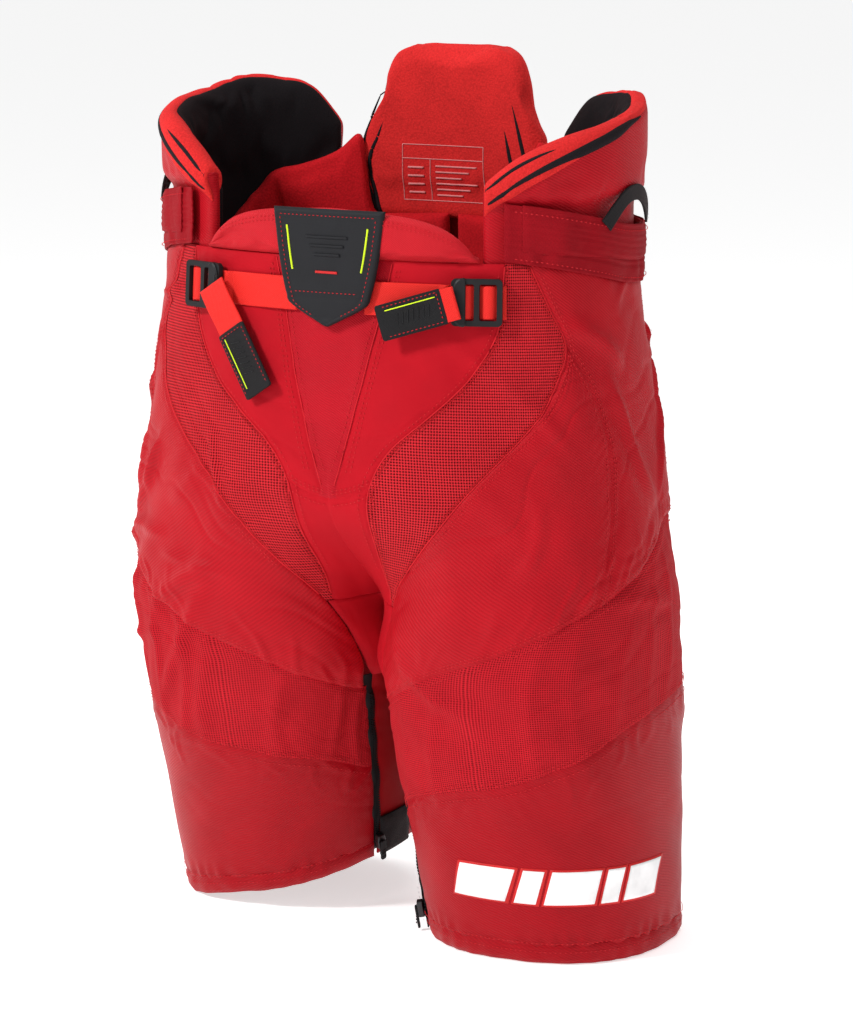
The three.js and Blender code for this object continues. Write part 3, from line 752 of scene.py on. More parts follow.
ZIP_BLACK = moulded("zip_black", (0.012, 0.012, 0.013), 0.5)
METAL = moulded("plated_metal", (0.05, 0.05, 0.052), 0.35, metallic=0.85)
GUARD = moulded("guard_plastic", (0.7, 0.69, 0.64), 0.5)
PRINT_WHITE = moulded("white_print", (0.86, 0.86, 0.86), 0.45, strength=0.15)
PRINT_PINK = moulded("pale_print", (0.62, 0.2, 0.2), 0.6, strength=0.15)
PRINT_DARK = knitted("dark_accent", (0.014, 0.011, 0.013), 900.0, strength=0.4, sheen=0.1)
NEON = moulded("neon_line", (0.62, 0.82, 0.02), 0.45)
ACCENT_RED = moulded("red_accent", (0.55, 0.02, 0.02), 0.5)

# ------------------------------------------------------------------ camera, lights and floor


def place_camera():
    """The view is 27 degrees round to the wearer's left, from about chest height."""
    azimuth = math.radians(27.0)
    distance, height, look_height, aside = 3.350, 0.940, 0.330, 0.0195
    across = Vector((math.cos(azimuth), math.sin(azimuth), 0)) * aside
    middle = Vector((ORIGIN[0] * MM, ORIGIN[1] * MM, 0)) + across
    eye = middle + Vector((math.sin(azimuth) * distance, -math.cos(azimuth) * distance, height))
    target = middle + Vector((0, 0, look_height))
    camera = bpy.data.objects.new("camera", bpy.data.cameras.new("camera"))
    camera.data.lens = 154.7
    camera.data.clip_end = 200
    camera.location = eye
    camera.rotation_euler = (target - eye).to_track_quat("-Z", "Y").to_euler()
    bpy.context.collection.objects.link(camera)
    bpy.context.scene.camera = camera


def softbox(name, place, target, size, power, color=(1, 1, 1)):
    light = bpy.data.lights.new(name, "AREA")
    light.shape = "RECTANGLE"
    light.size, light.size_y = size
    light.energy = power
    light.color = color
    obj = bpy.data.objects.new(name, light)
    obj.location = place
    obj.rotation_euler = (Vector(target) - Vector(place)).to_track_quat("-Z", "Y").to_euler()
    bpy.context.collection.objects.link(obj)


def studio():
    world = bpy.data.worlds.new("studio")
    world.use_nodes = True
    world.node_tree.nodes["Background"].inputs[0].default_value = (1, 1, 1, 1)
    world.node_tree.nodes["Background"].inputs[1].default_value = 0.42
    bpy.context.scene.world = world
    bpy.context.scene.view_settings.view_transform = "Standard"
    softbox("key", (-1.5, -2.4, 2.5), (0, 0, 0.35), (0.55, 0.55), 92)
    softbox("fill", (2.8, -1.2, 1.6), (0, 0, 0.35), (1.2, 1.6), 10)
    softbox("left_edge", (-2.6, 0.3, 1.2), (0, 0, 0.35), (0.6, 1.6), 12)
    softbox("top", (0.2, 0.4, 2.8), (0, 0, 0.4), (1.4, 1.4), 22)
    floor_material, tree, shader = new_material("floor_paper", (0.93, 0.93, 0.93), 0.9, specular=0.1)
    shader.inputs["Emission Color"].default_value = (1, 1, 1, 1)
    shader.inputs["Emission Strength"].default_value = 0.52
    corners = [(-30000, -30000, -0.4), (30000, -30000, -0.4), (30000, 30000, -0.4), (-30000, 30000, -0.4)]
    floor = mesh_object("floor", corners, [(0, 1, 2, 3)], floor_material)
    MADE.remove(floor)


place_camera()
studio()

# ------------------------------------------------------------------ bookkeeping


def belongs(obj, body, slot, *nodes):
    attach(obj, body)
    if nodes:
        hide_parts(*nodes)


def cloth(obj, held="stretched"):
    """Takes a sewn panel and leaves it unchanged."""


# ------------------------------------------------------------------ pads


def pad_body(name, base, n, outer, inner, material, radius=9.0, fixed=None, seconds=20, puff=5.0):
    """A foam pad over a grid of the skin, blown up a little by a cloth simulation.

    Returns the object and the settled grids of its outer and inner faces. fixed marks grid
    points, such as those under the waistband, that the simulation holds.
    """
    across, up = lengths(base)
    edge = np.minimum(edge_distance(across, up), radius)
    round_off = np.sqrt(np.maximum(0.0, 1 - (1 - edge / radius) ** 2)) * 0.94 + 0.06
    middle, half = (outer + inner) / 2, (outer - inner) / 2 * round_off
    top = base + n * (middle + half)[..., None]
    bottom = base + n * (middle - half)[..., None]
    columns, rows = base.shape[:2]
    count = columns * rows
    points = np.concatenate([top.reshape(-1, 3), bottom.reshape(-1, 3)])
    weave = np.stack([across, up], -1).reshape(-1, 2)
    obj = mesh_object(name, points, slab_faces(columns, rows), material, np.concatenate([weave, weave]))
    held = np.zeros(2 * count, bool)
    if fixed is not None:
        held = np.concatenate([fixed.ravel(), fixed.ravel()])
    points = settle(obj, points, held, seconds, puff)
    obj.data.vertices.foreach_set("co", (points * MM).astype(np.float32).ravel())
    obj.data.update()
    return obj, points[:count].reshape(base.shape), points[count:].reshape(base.shape)


def settle(obj, points, held, frames, puff):
    """Cloth simulation with a little inside pressure; no point moves more than a few millimetres."""
    group = obj.vertex_groups.new(name="held")
    if held.any():
        group.add([int(i) for i in np.nonzero(held)[0]], 1.0, "REPLACE")
    modifier = obj.modifiers.new("cloth", "CLOTH")
    settings = modifier.settings
    settings.quality = 4
    settings.mass = 0.25
    settings.tension_stiffness = 12
    settings.compression_stiffness = 12
    settings.bending_stiffness = 0.4
    settings.shrink_min = -0.035
    settings.use_pressure = True
    settings.uniform_pressure_force = 4.0
    settings.effector_weights.gravity = 0.0
    if held.any():
        settings.vertex_group_mass = "held"
    modifier.collision_settings.use_collision = False
    scene = bpy.context.scene
    scene.frame_start, scene.frame_end = 1, frames
    modifier.point_cache.frame_start, modifier.point_cache.frame_end = 1, frames
    for number in range(1, frames + 1):
        scene.frame_set(number)
    evaluated = obj.evaluated_get(bpy.context.evaluated_depsgraph_get())
    moved = np.zeros(len(points) * 3, np.float32)
    evaluated.data.vertices.foreach_get("co", moved)
    moved = moved.reshape(-1, 3).astype(float) / MM
    obj.modifiers.remove(modifier)
    obj.vertex_groups.clear()
    scene.frame_set(1)
    shift = moved - points
    shift[~np.isfinite(shift)] = 0
    size = np.linalg.norm(shift, axis=1, keepdims=True)
    return points + shift * np.minimum(1, puff / np.maximum(size, 1e-6)) * (size < 60)


def finer(obj, levels=1):
    """Applies a subdivision surface, so that the pad's mesh is final."""
    modifier = obj.modifiers.new("finer", "SUBSURF")
    modifier.levels = modifier.render_levels = levels
    depsgraph = bpy.context.evaluated_depsgraph_get()
    mesh = bpy.data.meshes.new_from_object(obj.evaluated_get(depsgraph), depsgraph=depsgraph)
    obj.modifiers.remove(modifier)
    old = obj.data
    obj.data = mesh
    bpy.data.meshes.remove(old)
    mesh.name = obj.name
    mesh.polygons.foreach_set("use_smooth", [True] * len(mesh.polygons))
    return obj


def grid_normals(grid, like):
    """Normals of a grid of points, turned to the same side as `like`."""
    n = unit(np.cross(np.gradient(grid, axis=0), np.gradient(grid, axis=1)))
    return n * np.where((n * like).sum(-1, keepdims=True) < 0, -1, 1)


def cover(name, grid, n, material, out=0.9, under=-0.8, levels=1):
    """A thin closed cover over a grid of points of a settled pad."""
    across, up = lengths(grid)
    edge = edge_distance(across, up)
    lift = out * (1 - 0.75 * np.exp(-((edge / 1.6) ** 2)))
    points = np.concatenate([(grid + n * lift[..., None]).reshape(-1, 3), (grid + n * under).reshape(-1, 3)])
    weave = np.stack([across, up], -1).reshape(-1, 2)
    columns, rows = grid.shape[:2]
    obj = mesh_object(name, points, slab_faces(columns, rows), material, np.concatenate([weave, weave]))
    return finer(obj, levels) if levels else obj


def sampled(grid, i, j):
    """Points of a grid at fractional column and row numbers."""
    i = np.clip(i, 0, grid.shape[0] - 1.001)
    j = np.clip(j, 0, grid.shape[1] - 1.001)
    a, b = np.floor(i).astype(int), np.floor(j).astype(int)
    f, g = (i - a)[..., None], (j - b)[..., None]
    low = grid[a, b] * (1 - f) + grid[a + 1, b] * f
    high = grid[a, b + 1] * (1 - f) + grid[a + 1, b + 1] * f
    return low * (1 - g) + high * g


# ------------------------------------------------------------------ sewn panels


def band_bottom(t):
    return curve(BAND_BOTTOM, t)


def panel_top(t):
    return np.where(t < 0.22, WAIST_SEAM, band_bottom(t) + 3)


def side_edge(z):
    return np.where(z < 478, curve(SIDE_SEAM, np.minimum(z, 478)), curve(INSERT_OUTER, z))


def near_hem(t, z):
    """Ruched cloth close above the hem elastic."""
    return 0.8 * np.exp(-((z - 17) / 9) ** 2) * np.sin(t * 600 / 2.9 + 3 * np.sin(t * 40))


def add_panels(side, word):
    """The sewn panels of one side."""
    made = []

    def sewn(label, slot_name, *where, stands=True, **how):
        obj = panel(f"{word}_{label}", side, *where, **how)
        belongs(obj, ROOT, slot_name, *([f"{word}_{label}"] if stands else []))
        made.append(obj)

    wrap = dict(left=ZIP_T + SLIT, right=INNER_BACK_T)
    sewn(
        "hem_band", "nylon", ZIP_T + SLIT, 1 + ZIP_T - SLIT, 0.6, HEM_SEAM + LAP, CUFF_NYLON,
        out=0.7, thick=3.6, step=2.6, groove=1.2,
        extra=lambda t, z: 0.35 * np.sin(t * 600 / 3.3 + 2 * np.sin(t * 31)),
    )
    sewn(
        "cuff_panel", "nylon", low=HEM_SEAM, high=lambda t: curve(LOWER_SEAM, t) + LAP,
        material=CUFF_NYLON, extra=near_hem, **wrap,
    )
    sewn(
        "mid_band", "woven_mesh", low=along(LOWER_SEAM), high=lambda t: curve(UPPER_SEAM, t) + LAP,
        material=WOVEN_MESH, out=-0.3, **wrap,
    )
    sewn("inner_panel", "stretch", -0.07 - LAP_T, ZIP_T - SLIT, HEM_SEAM, 208, INNER, thick=1.6)
    sewn(
        "thigh_panel", "nylon", along(INSERT_OUTER), lambda z: curve(SIDE_SEAM, z) + LAP_T,
        along(UPPER_SEAM), 480, NYLON, puff=1.8,
    )
    sewn(
        "side_panel", "nylon", side_edge, BACK_SEAM_T + LAP_T, along(UPPER_SEAM), panel_top,
        NYLON, puff=1.6,
    )
    seat_low = lambda t: curve(UPPER_SEAM, t) + (269 - curve(UPPER_SEAM, t)) * smooth(t, 0.915, 0.935)
    sewn("seat_panel", "stretch", BACK_SEAM_T, 0.9995, seat_low, panel_top, STRETCH, puff=1.5)
    sewn(
        "mesh_insert", "open_mesh", lambda z: curve(INSERT_INNER, z) - LAP_T,
        lambda z: curve(INSERT_OUTER, z) + LAP_T, 270, WAIST_SEAM, OPEN_MESH,
        out=-0.5, thick=1.6, puff=0.6,
    )
    sewn("front_panel", "stretch", along(FLY_SEAM), along(INSERT_INNER), along(V_SEAM), WAIST_SEAM, STRETCH)
    sewn(
        "waistband", "elastic", 0.225, 0.9995, band_bottom, lambda t: band_bottom(t) + BAND_HEIGHT,
        ELASTIC, out=3.6, thick=3.2, step=1.5, puff=0.9, pucker=0.3,
        extra=lambda t, z: 0.42 * np.sin((z - band_bottom(t)) * 2 * np.pi / 4.6)
        + 0.9 * np.sin(t * 600 / 11 + 4 * np.sin(t * 23)),
    )
    sewn(
        "band_fold", "elastic", 0.255, 0.74, lambda t: band_bottom(t) + 9 + 8 * smooth(t, 0.25, 0.5),
        lambda t: band_bottom(t) + BAND_HEIGHT + 1, ELASTIC,
        stands=False, out=5.4, thick=1.6, step=1.6, puff=1.3, pucker=0.4,
        extra=lambda t, z: 0.3 * np.sin((z - band_bottom(t)) * 2 * np.pi / 4.6)
        + 0.8 * np.sin(t * 600 / 14 + 2 * np.sin(t * 19)),
    )
    for obj in made:
        cloth(obj)
    add_side_seams(side, word)


def add_side_seams(side, word):
    """Double rows of stitches beside each seam and at the hem, and piping round the mesh insert."""
    t = np.linspace(ZIP_T + ZIP_HALF + 0.002, INNER_BACK_T - 0.002, 420)
    group = f"{word}_stitches"
    for line, offsets in ((LOWER_SEAM, (-4.6, 4.2, 6.8)), (UPPER_SEAM, (-4.6, 4.2, 6.8))):
        for up in offsets:
            seam_stitch(group, side, t, curve(line, t) + up)
    for up in (HEM_SEAM - 3.4, HEM_SEAM + 4.0):
        seam_stitch(group, side, t, np.full_like(t, up), 1.0 if up < HEM_SEAM else 1.6)
    z = np.linspace(282, 474, 200)
    for aside in (-0.0085, 0.0085, 0.0135):
        seam_stitch(group, side, curve(SIDE_SEAM, z) + aside, z)
    z = np.linspace(345, 516, 200)
    for aside in (-0.0085, 0.0085):
        seam_stitch(group, side, BACK_SEAM_T + aside + 0 * z, z)
    z = np.linspace(282, 524, 240)
    seam_stitch(group, side, 0.992 + 0 * z, z)
    z = np.linspace(300, 534, 260)
    for aside in (0.0095, 0.0145):
        seam_stitch(group, side, curve(INSERT_OUTER, z) + aside, z)
    for aside in (-0.009, 0.008):
        seam_stitch(group, side, curve(INSERT_INNER, z) + aside, z)
    t = np.linspace(0.24, 0.99, 420)
    for up in (3.4, BAND_HEIGHT - 4.5):
        seam_stitch(group, side, t, band_bottom(t) + up, 4.3 if up < 9 else 6.4)
    z = np.linspace(276, 538, 220)
    for edge, label, aside in ((INSERT_OUTER, "outer", -0.0045), (INSERT_INNER, "inner", 0.0045)):
        line, n = on_skin(side, curve(edge, z), z, -0.5)
        cord = tube(f"{word}_insert_piping_{label}", spaced(line, 2.2), 0.6, PIPING)
        belongs(cord, ROOT, "nylon")
        line, n = on_skin(side, curve(edge, z) + aside, z, -0.05)
        zigzag(group, line, n)


def add_centre():
    fly = centre_panel(
        "fly_panel", lambda z: curve(FLY_SEAM, z) + LAP_T, along(V_SEAM), lambda t: WAIST_SEAM + 0 * t, TWILL,
        out=0.1, puff=0.6,
    )
    belongs(fly, ROOT, "twill", "fly_panel")
    cloth(fly)
    gusset = centre_panel(
        "front_gusset", along(INSERT_INNER), lambda t: 272.4 - 53 * t, lambda t: curve(V_SEAM, t) + LAP,
        STRETCH, out=-0.2, puff=0.8, sewn="lrt",
    )
    belongs(gusset, ROOT, "stretch", "front_gusset")
    cloth(gusset)
    for side, word in SIDES:
        group = f"{word}_stitches"
        z = np.linspace(380, 534, 180)
        for aside in (-0.006, 0.0075, 0.012):
            seam_stitch(group, side, curve(FLY_SEAM, z) + aside, z)
        t = np.linspace(0.002, 0.042, 40)
        for up in (-5.0, 4.4, 7.0):
            seam_stitch(group, side, t, curve(V_SEAM, t) + up)
        z = np.linspace(370, 538, 120)
        line, _ = on_skin(side, curve(FLY_SEAM, z), z, 0.2)
        belongs(tube(f"{word}_fly_piping", spaced(line, 2.2), 0.5, PIPING), ROOT, "twill")
    add_sling()


def add_sling():
    """The crotch gusset: a sling from the centre front, between the legs, to the centre back."""
    rise = [57, 46, 34, 26, 18, 12, 6, 2, 0]
    t = [0.0785, 0.0785, 0.0785, 0.074, 0.066, 0.053, 0.038, 0.018, 0.0]
    z = [270, 248, 227, 212, 202, 201, 201, 201, 201]
    ribs = [(rise[k], min(t[k], 0.074), z[k], True) for k in range(8)]
    ribs += [(rise[k], t[k], z[k], False) for k in range(8, -1, -1)]
    steps = np.linspace(-1, 1, 25)
    grid = np.zeros((len(steps), len(ribs), 3))
    loose = np.zeros((len(steps), len(ribs), 1))
    for i, step in enumerate(steps):
        side = RIGHT if step < 0 else LEFT
        f = abs(step)
        for j, (up, at, height, back) in enumerate(ribs):
            around = 1 - at * f if back else at * f
            level = CROTCH_Z + up + (height - CROTCH_Z - up) * f
            grid[i, j] = skin(side, around, level)
            middle = 0.5 * float(wrinkles(LEFT, around, level) + wrinkles(RIGHT, around, level))
            own = float(wrinkles(side, around, level))
            loose[i, j] = middle + (own - middle) * float(smooth(at * f, 0.0, 0.03))
    spots = np.meshgrid(np.linspace(0, 24, 49), np.linspace(0, 16, 97), indexing="ij")
    dense, slack = sampled(grid, *spots), sampled(loose, *spots)[..., 0]
    across, up = lengths(dense)
    n = -unit(np.cross(np.gradient(dense, axis=0), np.gradient(dense, axis=1)))
    n *= np.where(n[..., 2:].mean() > 0, -1, 1)
    ahead = np.linspace(0, 1, 97)[None, :] * np.ones((49, 1))
    belly = 15 * smooth(1 - ahead, 0, 0.22) * smooth(1 - ahead, 0.62, 0.3)
    belly = belly * np.sin(math.pi * np.linspace(0, 1, 49))[:, None] ** 0.8
    puff = slack - 0.2 + belly + noise_at(dense, 26.0, 4.2) * 1.6 * smooth(ahead, 0.98, 0.8)
    weave = np.stack([across, up], -1).reshape(-1, 2)
    sling = sew("crotch_gusset", dense, n, puff, weave, STRETCH, puff=0.8, groove=0.7, sewn="lr")
    belongs(sling, ROOT, "stretch", "crotch_gusset")
    cloth(sling)


# ------------------------------------------------------------------ hardware


def node_frame(side, t, z, out):
    """Across to the viewer's right, up along the skin and outward, with a place: the CAD's own frame."""
    place = skin(side, t, z)
    across = unit((skin(side, t + 0.005, z) - skin(side, t - 0.005, z)) * side)
    up = unit(skin(side, t, z + 2) - skin(side, t, z - 2))
    outward = unit(np.cross(across, up))
    up = np.cross(outward, across)
    return np.stack([across, up, outward], 1), place + outward * out


def dressed(node, name, material, bevel=0.5):
    """A copy of a hard CAD piece with rounded edges."""
    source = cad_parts[node]
    obj = bpy.data.objects.new(name, source.data.copy())
    obj.data.name = name
    bpy.context.collection.objects.link(obj)
    obj.data.materials.clear()
    obj.data.materials.append(material)
    work = bmesh.new()
    work.from_mesh(obj.data)
    bmesh.ops.remove_doubles(work, verts=work.verts, dist=1e-6)
    bmesh.ops.dissolve_limit(work, angle_limit=math.radians(2), verts=work.verts, edges=work.edges)
    sharp = [e for e in work.edges if e.is_manifold and e.calc_face_angle(0) > math.radians(35)]
    bmesh.ops.bevel(
        work, geom=sharp, offset=bevel * MM, segments=2, profile=0.5, affect="EDGES", clamp_overlap=True,
    )
    bmesh.ops.triangulate(work, faces=[f for f in work.faces if len(f.verts) > 4])
    work.to_mesh(obj.data)
    work.free()
    obj.data.polygons.foreach_set("use_smooth", [False] * len(obj.data.polygons))
    MADE.append(obj)
    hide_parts(node)
    return obj


def strip(name, rows_of_points, n, material, thick, edge=0.8):
    """A strap from a grid (along, across): rounded long edges, a weave and a real thickness."""
    across, up = lengths(rows_of_points)
    near = np.minimum(up, up[:, -1:] - up)
    rim = np.sqrt(np.maximum(0, 1 - (1 - np.minimum(near / edge, 1)) ** 2)) * 0.7 + 0.3
    top = rows_of_points + n * (thick / 2 * rim)[..., None]
    bottom = rows_of_points - n * (thick / 2 * rim)[..., None]
    weave = np.stack([across, up], -1).reshape(-1, 2)
    columns, rows = across.shape
    points = np.concatenate([top.reshape(-1, 3), bottom.reshape(-1, 3)])
    return mesh_object(name, points, slab_faces(columns, rows), material, np.concatenate([weave, weave]))


def ribbon(path, wide_axis, width, rows=13):
    """A grid along a path, `width` wide along wide_axis, which is one direction per point."""
    edge = np.concatenate([[0, 0.02, 0.05], np.linspace(0.12, 0.88, rows - 6), [0.95, 0.98, 1]]) - 0.5
    return path[:, None] + wide_axis[:, None] * (edge * width)[None, :, None]


def add_belt(side, word):
    """Webbing from under the badge round the buckle's inner bar, and from the side seam to its hinge bar."""
    up_steps = lambda t: (unit(skin(side, t, BELT_Z + 3) - skin(side, t, BELT_Z - 3)))
    matrix, centre = node_frame(side, 0.183, BELT_Z, 4.6)
    across = matrix[:, 0] * -side
    outward = matrix[:, 2]
    inner_bar = centre + across * 17 + outward * 2
    t = np.linspace(0.034, 0.138, 40)
    flat, n = on_skin(side, t, np.full_like(t, BELT_Z), 2.8)
    ride = flat - n * wrinkles(side, t, np.full_like(t, BELT_Z))[:, None] * 0.6
    turn = [inner_bar + across * 6.5 - outward * 1.6, inner_bar + across * 3.2 - outward * 3.4]
    path = spaced(np.concatenate([ride[: len(ride) - 3], np.array(turn)]), 1.6)
    wide = unit(np.array([up_steps(np.array(0.11))] * len(path)).reshape(len(path), 3))
    wave_out = np.sin(np.linspace(0, 9, len(path)))[:, None] * 0.25
    grid = ribbon(path + outward * wave_out, wide, WEBBING_WIDTH)
    strap = strip(f"{word}_belt_strap", grid, grid_normals(grid, outward), WEBBING_RED, WEBBING)
    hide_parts(f"{word}_belt_strap")
    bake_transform(strap)

    outer_spots = ((21.5, -1.4), (17, -1.2), (14.2, -0.4), (11.5, 1.9))
    spots = outer_spots + ((8.5, 2.6), (5.5, 1.9), (2.8, -0.4), (0, -1.2))
    heights = list(spots) + [(-a, b) for a, b in spots[-2::-1]]
    where = np.array([a for a, _ in heights]), np.array([b for _, b in heights])
    x = np.linspace(21.5, -21.5, 90)
    high = np.interp(-x, -where[0], where[1])
    high = np.convolve(np.pad(high, 3, mode="edge"), np.ones(7) / 7, "valid")
    path = centre - outward * 0.2 + across * x[:, None] * -1 + outward * high[:, None]
    wide = np.repeat(matrix[:, 1][None], len(path), 0)
    grid = ribbon(path, wide, WEBBING_WIDTH)
    like = np.repeat(outward[None, None], grid.shape[0], 0).repeat(grid.shape[1], 1)
    anchor = strip(f"{word}_buckle_anchor", grid, grid_normals(grid, like), WEBBING_RED, 1.6)
    belongs(anchor, f"{word}_buckle", "webbing", f"{word}_buckle_anchor")

    buckle = dressed(f"{word}_buckle", f"{word}_buckle_frame", PLASTIC, 0.8)
    belongs(buckle, f"{word}_buckle", "plastic")
    turn = np.linspace(-math.pi / 2, math.pi / 2, 17)
    rim = [(9.5 + 9.5 * math.cos(a) ** 0.7, 18.0 * math.sin(a)) for a in turn]
    outline = [(8.2, -16.5)] + rim + [(8.2, 16.5)]
    points = [centre + across * x + matrix[:, 1] * y + outward * h for h in (0.6, 5.0) for x, y in outline]
    inset = [
        centre + across * (10.6 + (x - 10.6) * 0.86) + matrix[:, 1] * y * 0.93 + outward * 5.6
        for x, y in outline
    ]
    count = len(outline)
    faces = [tuple(range(count))[::-1], tuple(2 * count + k for k in range(count))]
    for k in range(count):
        j = (k + 1) % count
        faces += [(k, j, count + j, count + k), (count + k, count + j, 2 * count + j, 2 * count + k)]
    plate = mesh_object(f"{word}_buckle_plate", points + inset, faces, PLASTIC, smooth_shade=False)
    tidy_faces(plate)
    belongs(plate, f"{word}_buckle", "plastic")
    for k in range(3):
        spot = across * 1.5 + outward * 3.4 + inner_bar + across * (-1.2 + 1.4 * k) + outward * 1.4
        line = spaced(np.array([spot - matrix[:, 1] * 9, spot + matrix[:, 1] * 9]), 2.0)
        rib = tube(f"{word}_buckle_rib_{k + 1}", line, 0.45, PLASTIC, 6)
        belongs(rib, f"{word}_buckle", "plastic")
    add_tail(side, word, matrix, centre)


def tidy_faces(obj):
    """Turns all faces outward and splits the many-sided ones."""
    work = bmesh.new()
    work.from_mesh(obj.data)
    bmesh.ops.triangulate(work, faces=[f for f in work.faces if len(f.verts) > 4])
    bmesh.ops.recalc_face_normals(work, faces=work.faces)
    work.to_mesh(obj.data)
    work.free()


def add_tail(side, word, matrix, centre):
    """The loose webbing end with its black end tab, its thin bright line and its red edge stitches."""
    tilt = {LEFT: -163.0, RIGHT: -57.0}[side]
    webbing, tab = {LEFT: (8.0, 52.0), RIGHT: (36.0, 54.0)}[side]
    hinge = centre + matrix[:, 0] * side * 19
    pivot = hinge - matrix[:, 0] * side * 34 + matrix[:, 2] * 6.4
    frame_t, _ = node_frame(side, 0.11, BELT_Z, 0)
    c, s = math.cos(math.radians(tilt)), math.sin(math.radians(tilt))
    ahead = frame_t[:, 0] * c + frame_t[:, 1] * s
    aside = -frame_t[:, 0] * s + frame_t[:, 1] * c
    out = frame_t[:, 2]
    body = f"{word}_tail"
    place = lambda x, y, h: pivot + ahead * x + aside * y + out * h
    lift = 2.1 if side == LEFT else 0.0
    count = max(8, int(webbing / 1.5))
    x = np.linspace(-1.5, webbing + 4, count)
    sag = 0.5 * np.sin(x / 7)
    path = np.array([place(a, 0, 0.9 + lift + b) for a, b in zip(x, sag)])
    grid = ribbon(path, np.repeat(aside[None], count, 0), WEBBING_WIDTH)
    strap = strip(f"{word}_strap_tail", grid, grid_normals(grid, out), WEBBING_RED, WEBBING)
    belongs(strap, body, "webbing", f"{word}_strap_tail")
    corner = 1.4
    ends = [0, 0.4, 1, 1.8, 3], tab - np.array([4, 3, 2, 1.2, 0.5, 0])
    x = np.concatenate([ends[0], np.linspace(5, tab - 6, 20), ends[1]])
    v = np.concatenate([[0, 0.015, 0.04, 0.08], np.linspace(0.14, 0.86, 13), [0.92, 0.96, 0.985, 1]]) * 2 - 1
    half = (WEBBING_WIDTH + 2) / 2
    grid = np.zeros((len(x), len(v), 3))
    for i, a in enumerate(x):
        from_end = min(a, tab - a)
        cut = corner - math.sqrt(max(0, corner**2 - max(0, corner - from_end) ** 2))
        for j, b in enumerate(v):
            swell = 0.5 * (1 - abs(b) ** 6) * min(1, from_end / 3) + 0.25 * math.sin(a / 5.5) * (1 - b * b)
            grid[i, j] = place(webbing + 0.4 + a, b * (half - cut), 1.3 + lift + swell * 0.4)
    end = strip(f"{word}_tail_tab", grid, grid_normals(grid, out), WEBBING_BLACK, 2.2, edge=1.0)
    belongs(end, body, "rubber", f"{word}_tail_tab")
    for k, b in enumerate((-11.2, 11.2)):
        line = np.array([place(webbing + 3 + a, b, 2.75 + lift) for a in np.linspace(0, tab - 6, 30)])
        stitch(f"{word}_tail_stitches", line, np.repeat(out[None], 30, 0), 2.2, 1.2, 0.45, 0.0)
    line = np.array([place(webbing + 3.2, b, 2.75 + lift) for b in np.linspace(-11, 11, 14)])
    stitch(f"{word}_tail_stitches", line, np.repeat(out[None], 14, 0), 2.2, 1.2, 0.45, 0.0)
    bars = [place(webbing + 12 + k * 4.2, 0, 2.7 + lift) for k in range(7)]
    for k, spot in enumerate(bars):
        line = spaced(np.array([spot - aside * 4.2 - ahead * 1.2, spot + aside * 4.2 + ahead * 1.2]), 1.2)
        belongs(tube(f"{word}_tab_bar_{k + 1}", line, 0.42, PLASTIC, 6), body, "rubber")
    line = np.array([place(webbing + 5 + a, -8.2, 2.7 + lift) for a in np.linspace(0, tab - 12, 20)])
    belongs(tube(f"{word}_tab_line", line, 0.45, NEON, 6), body, "rubber")


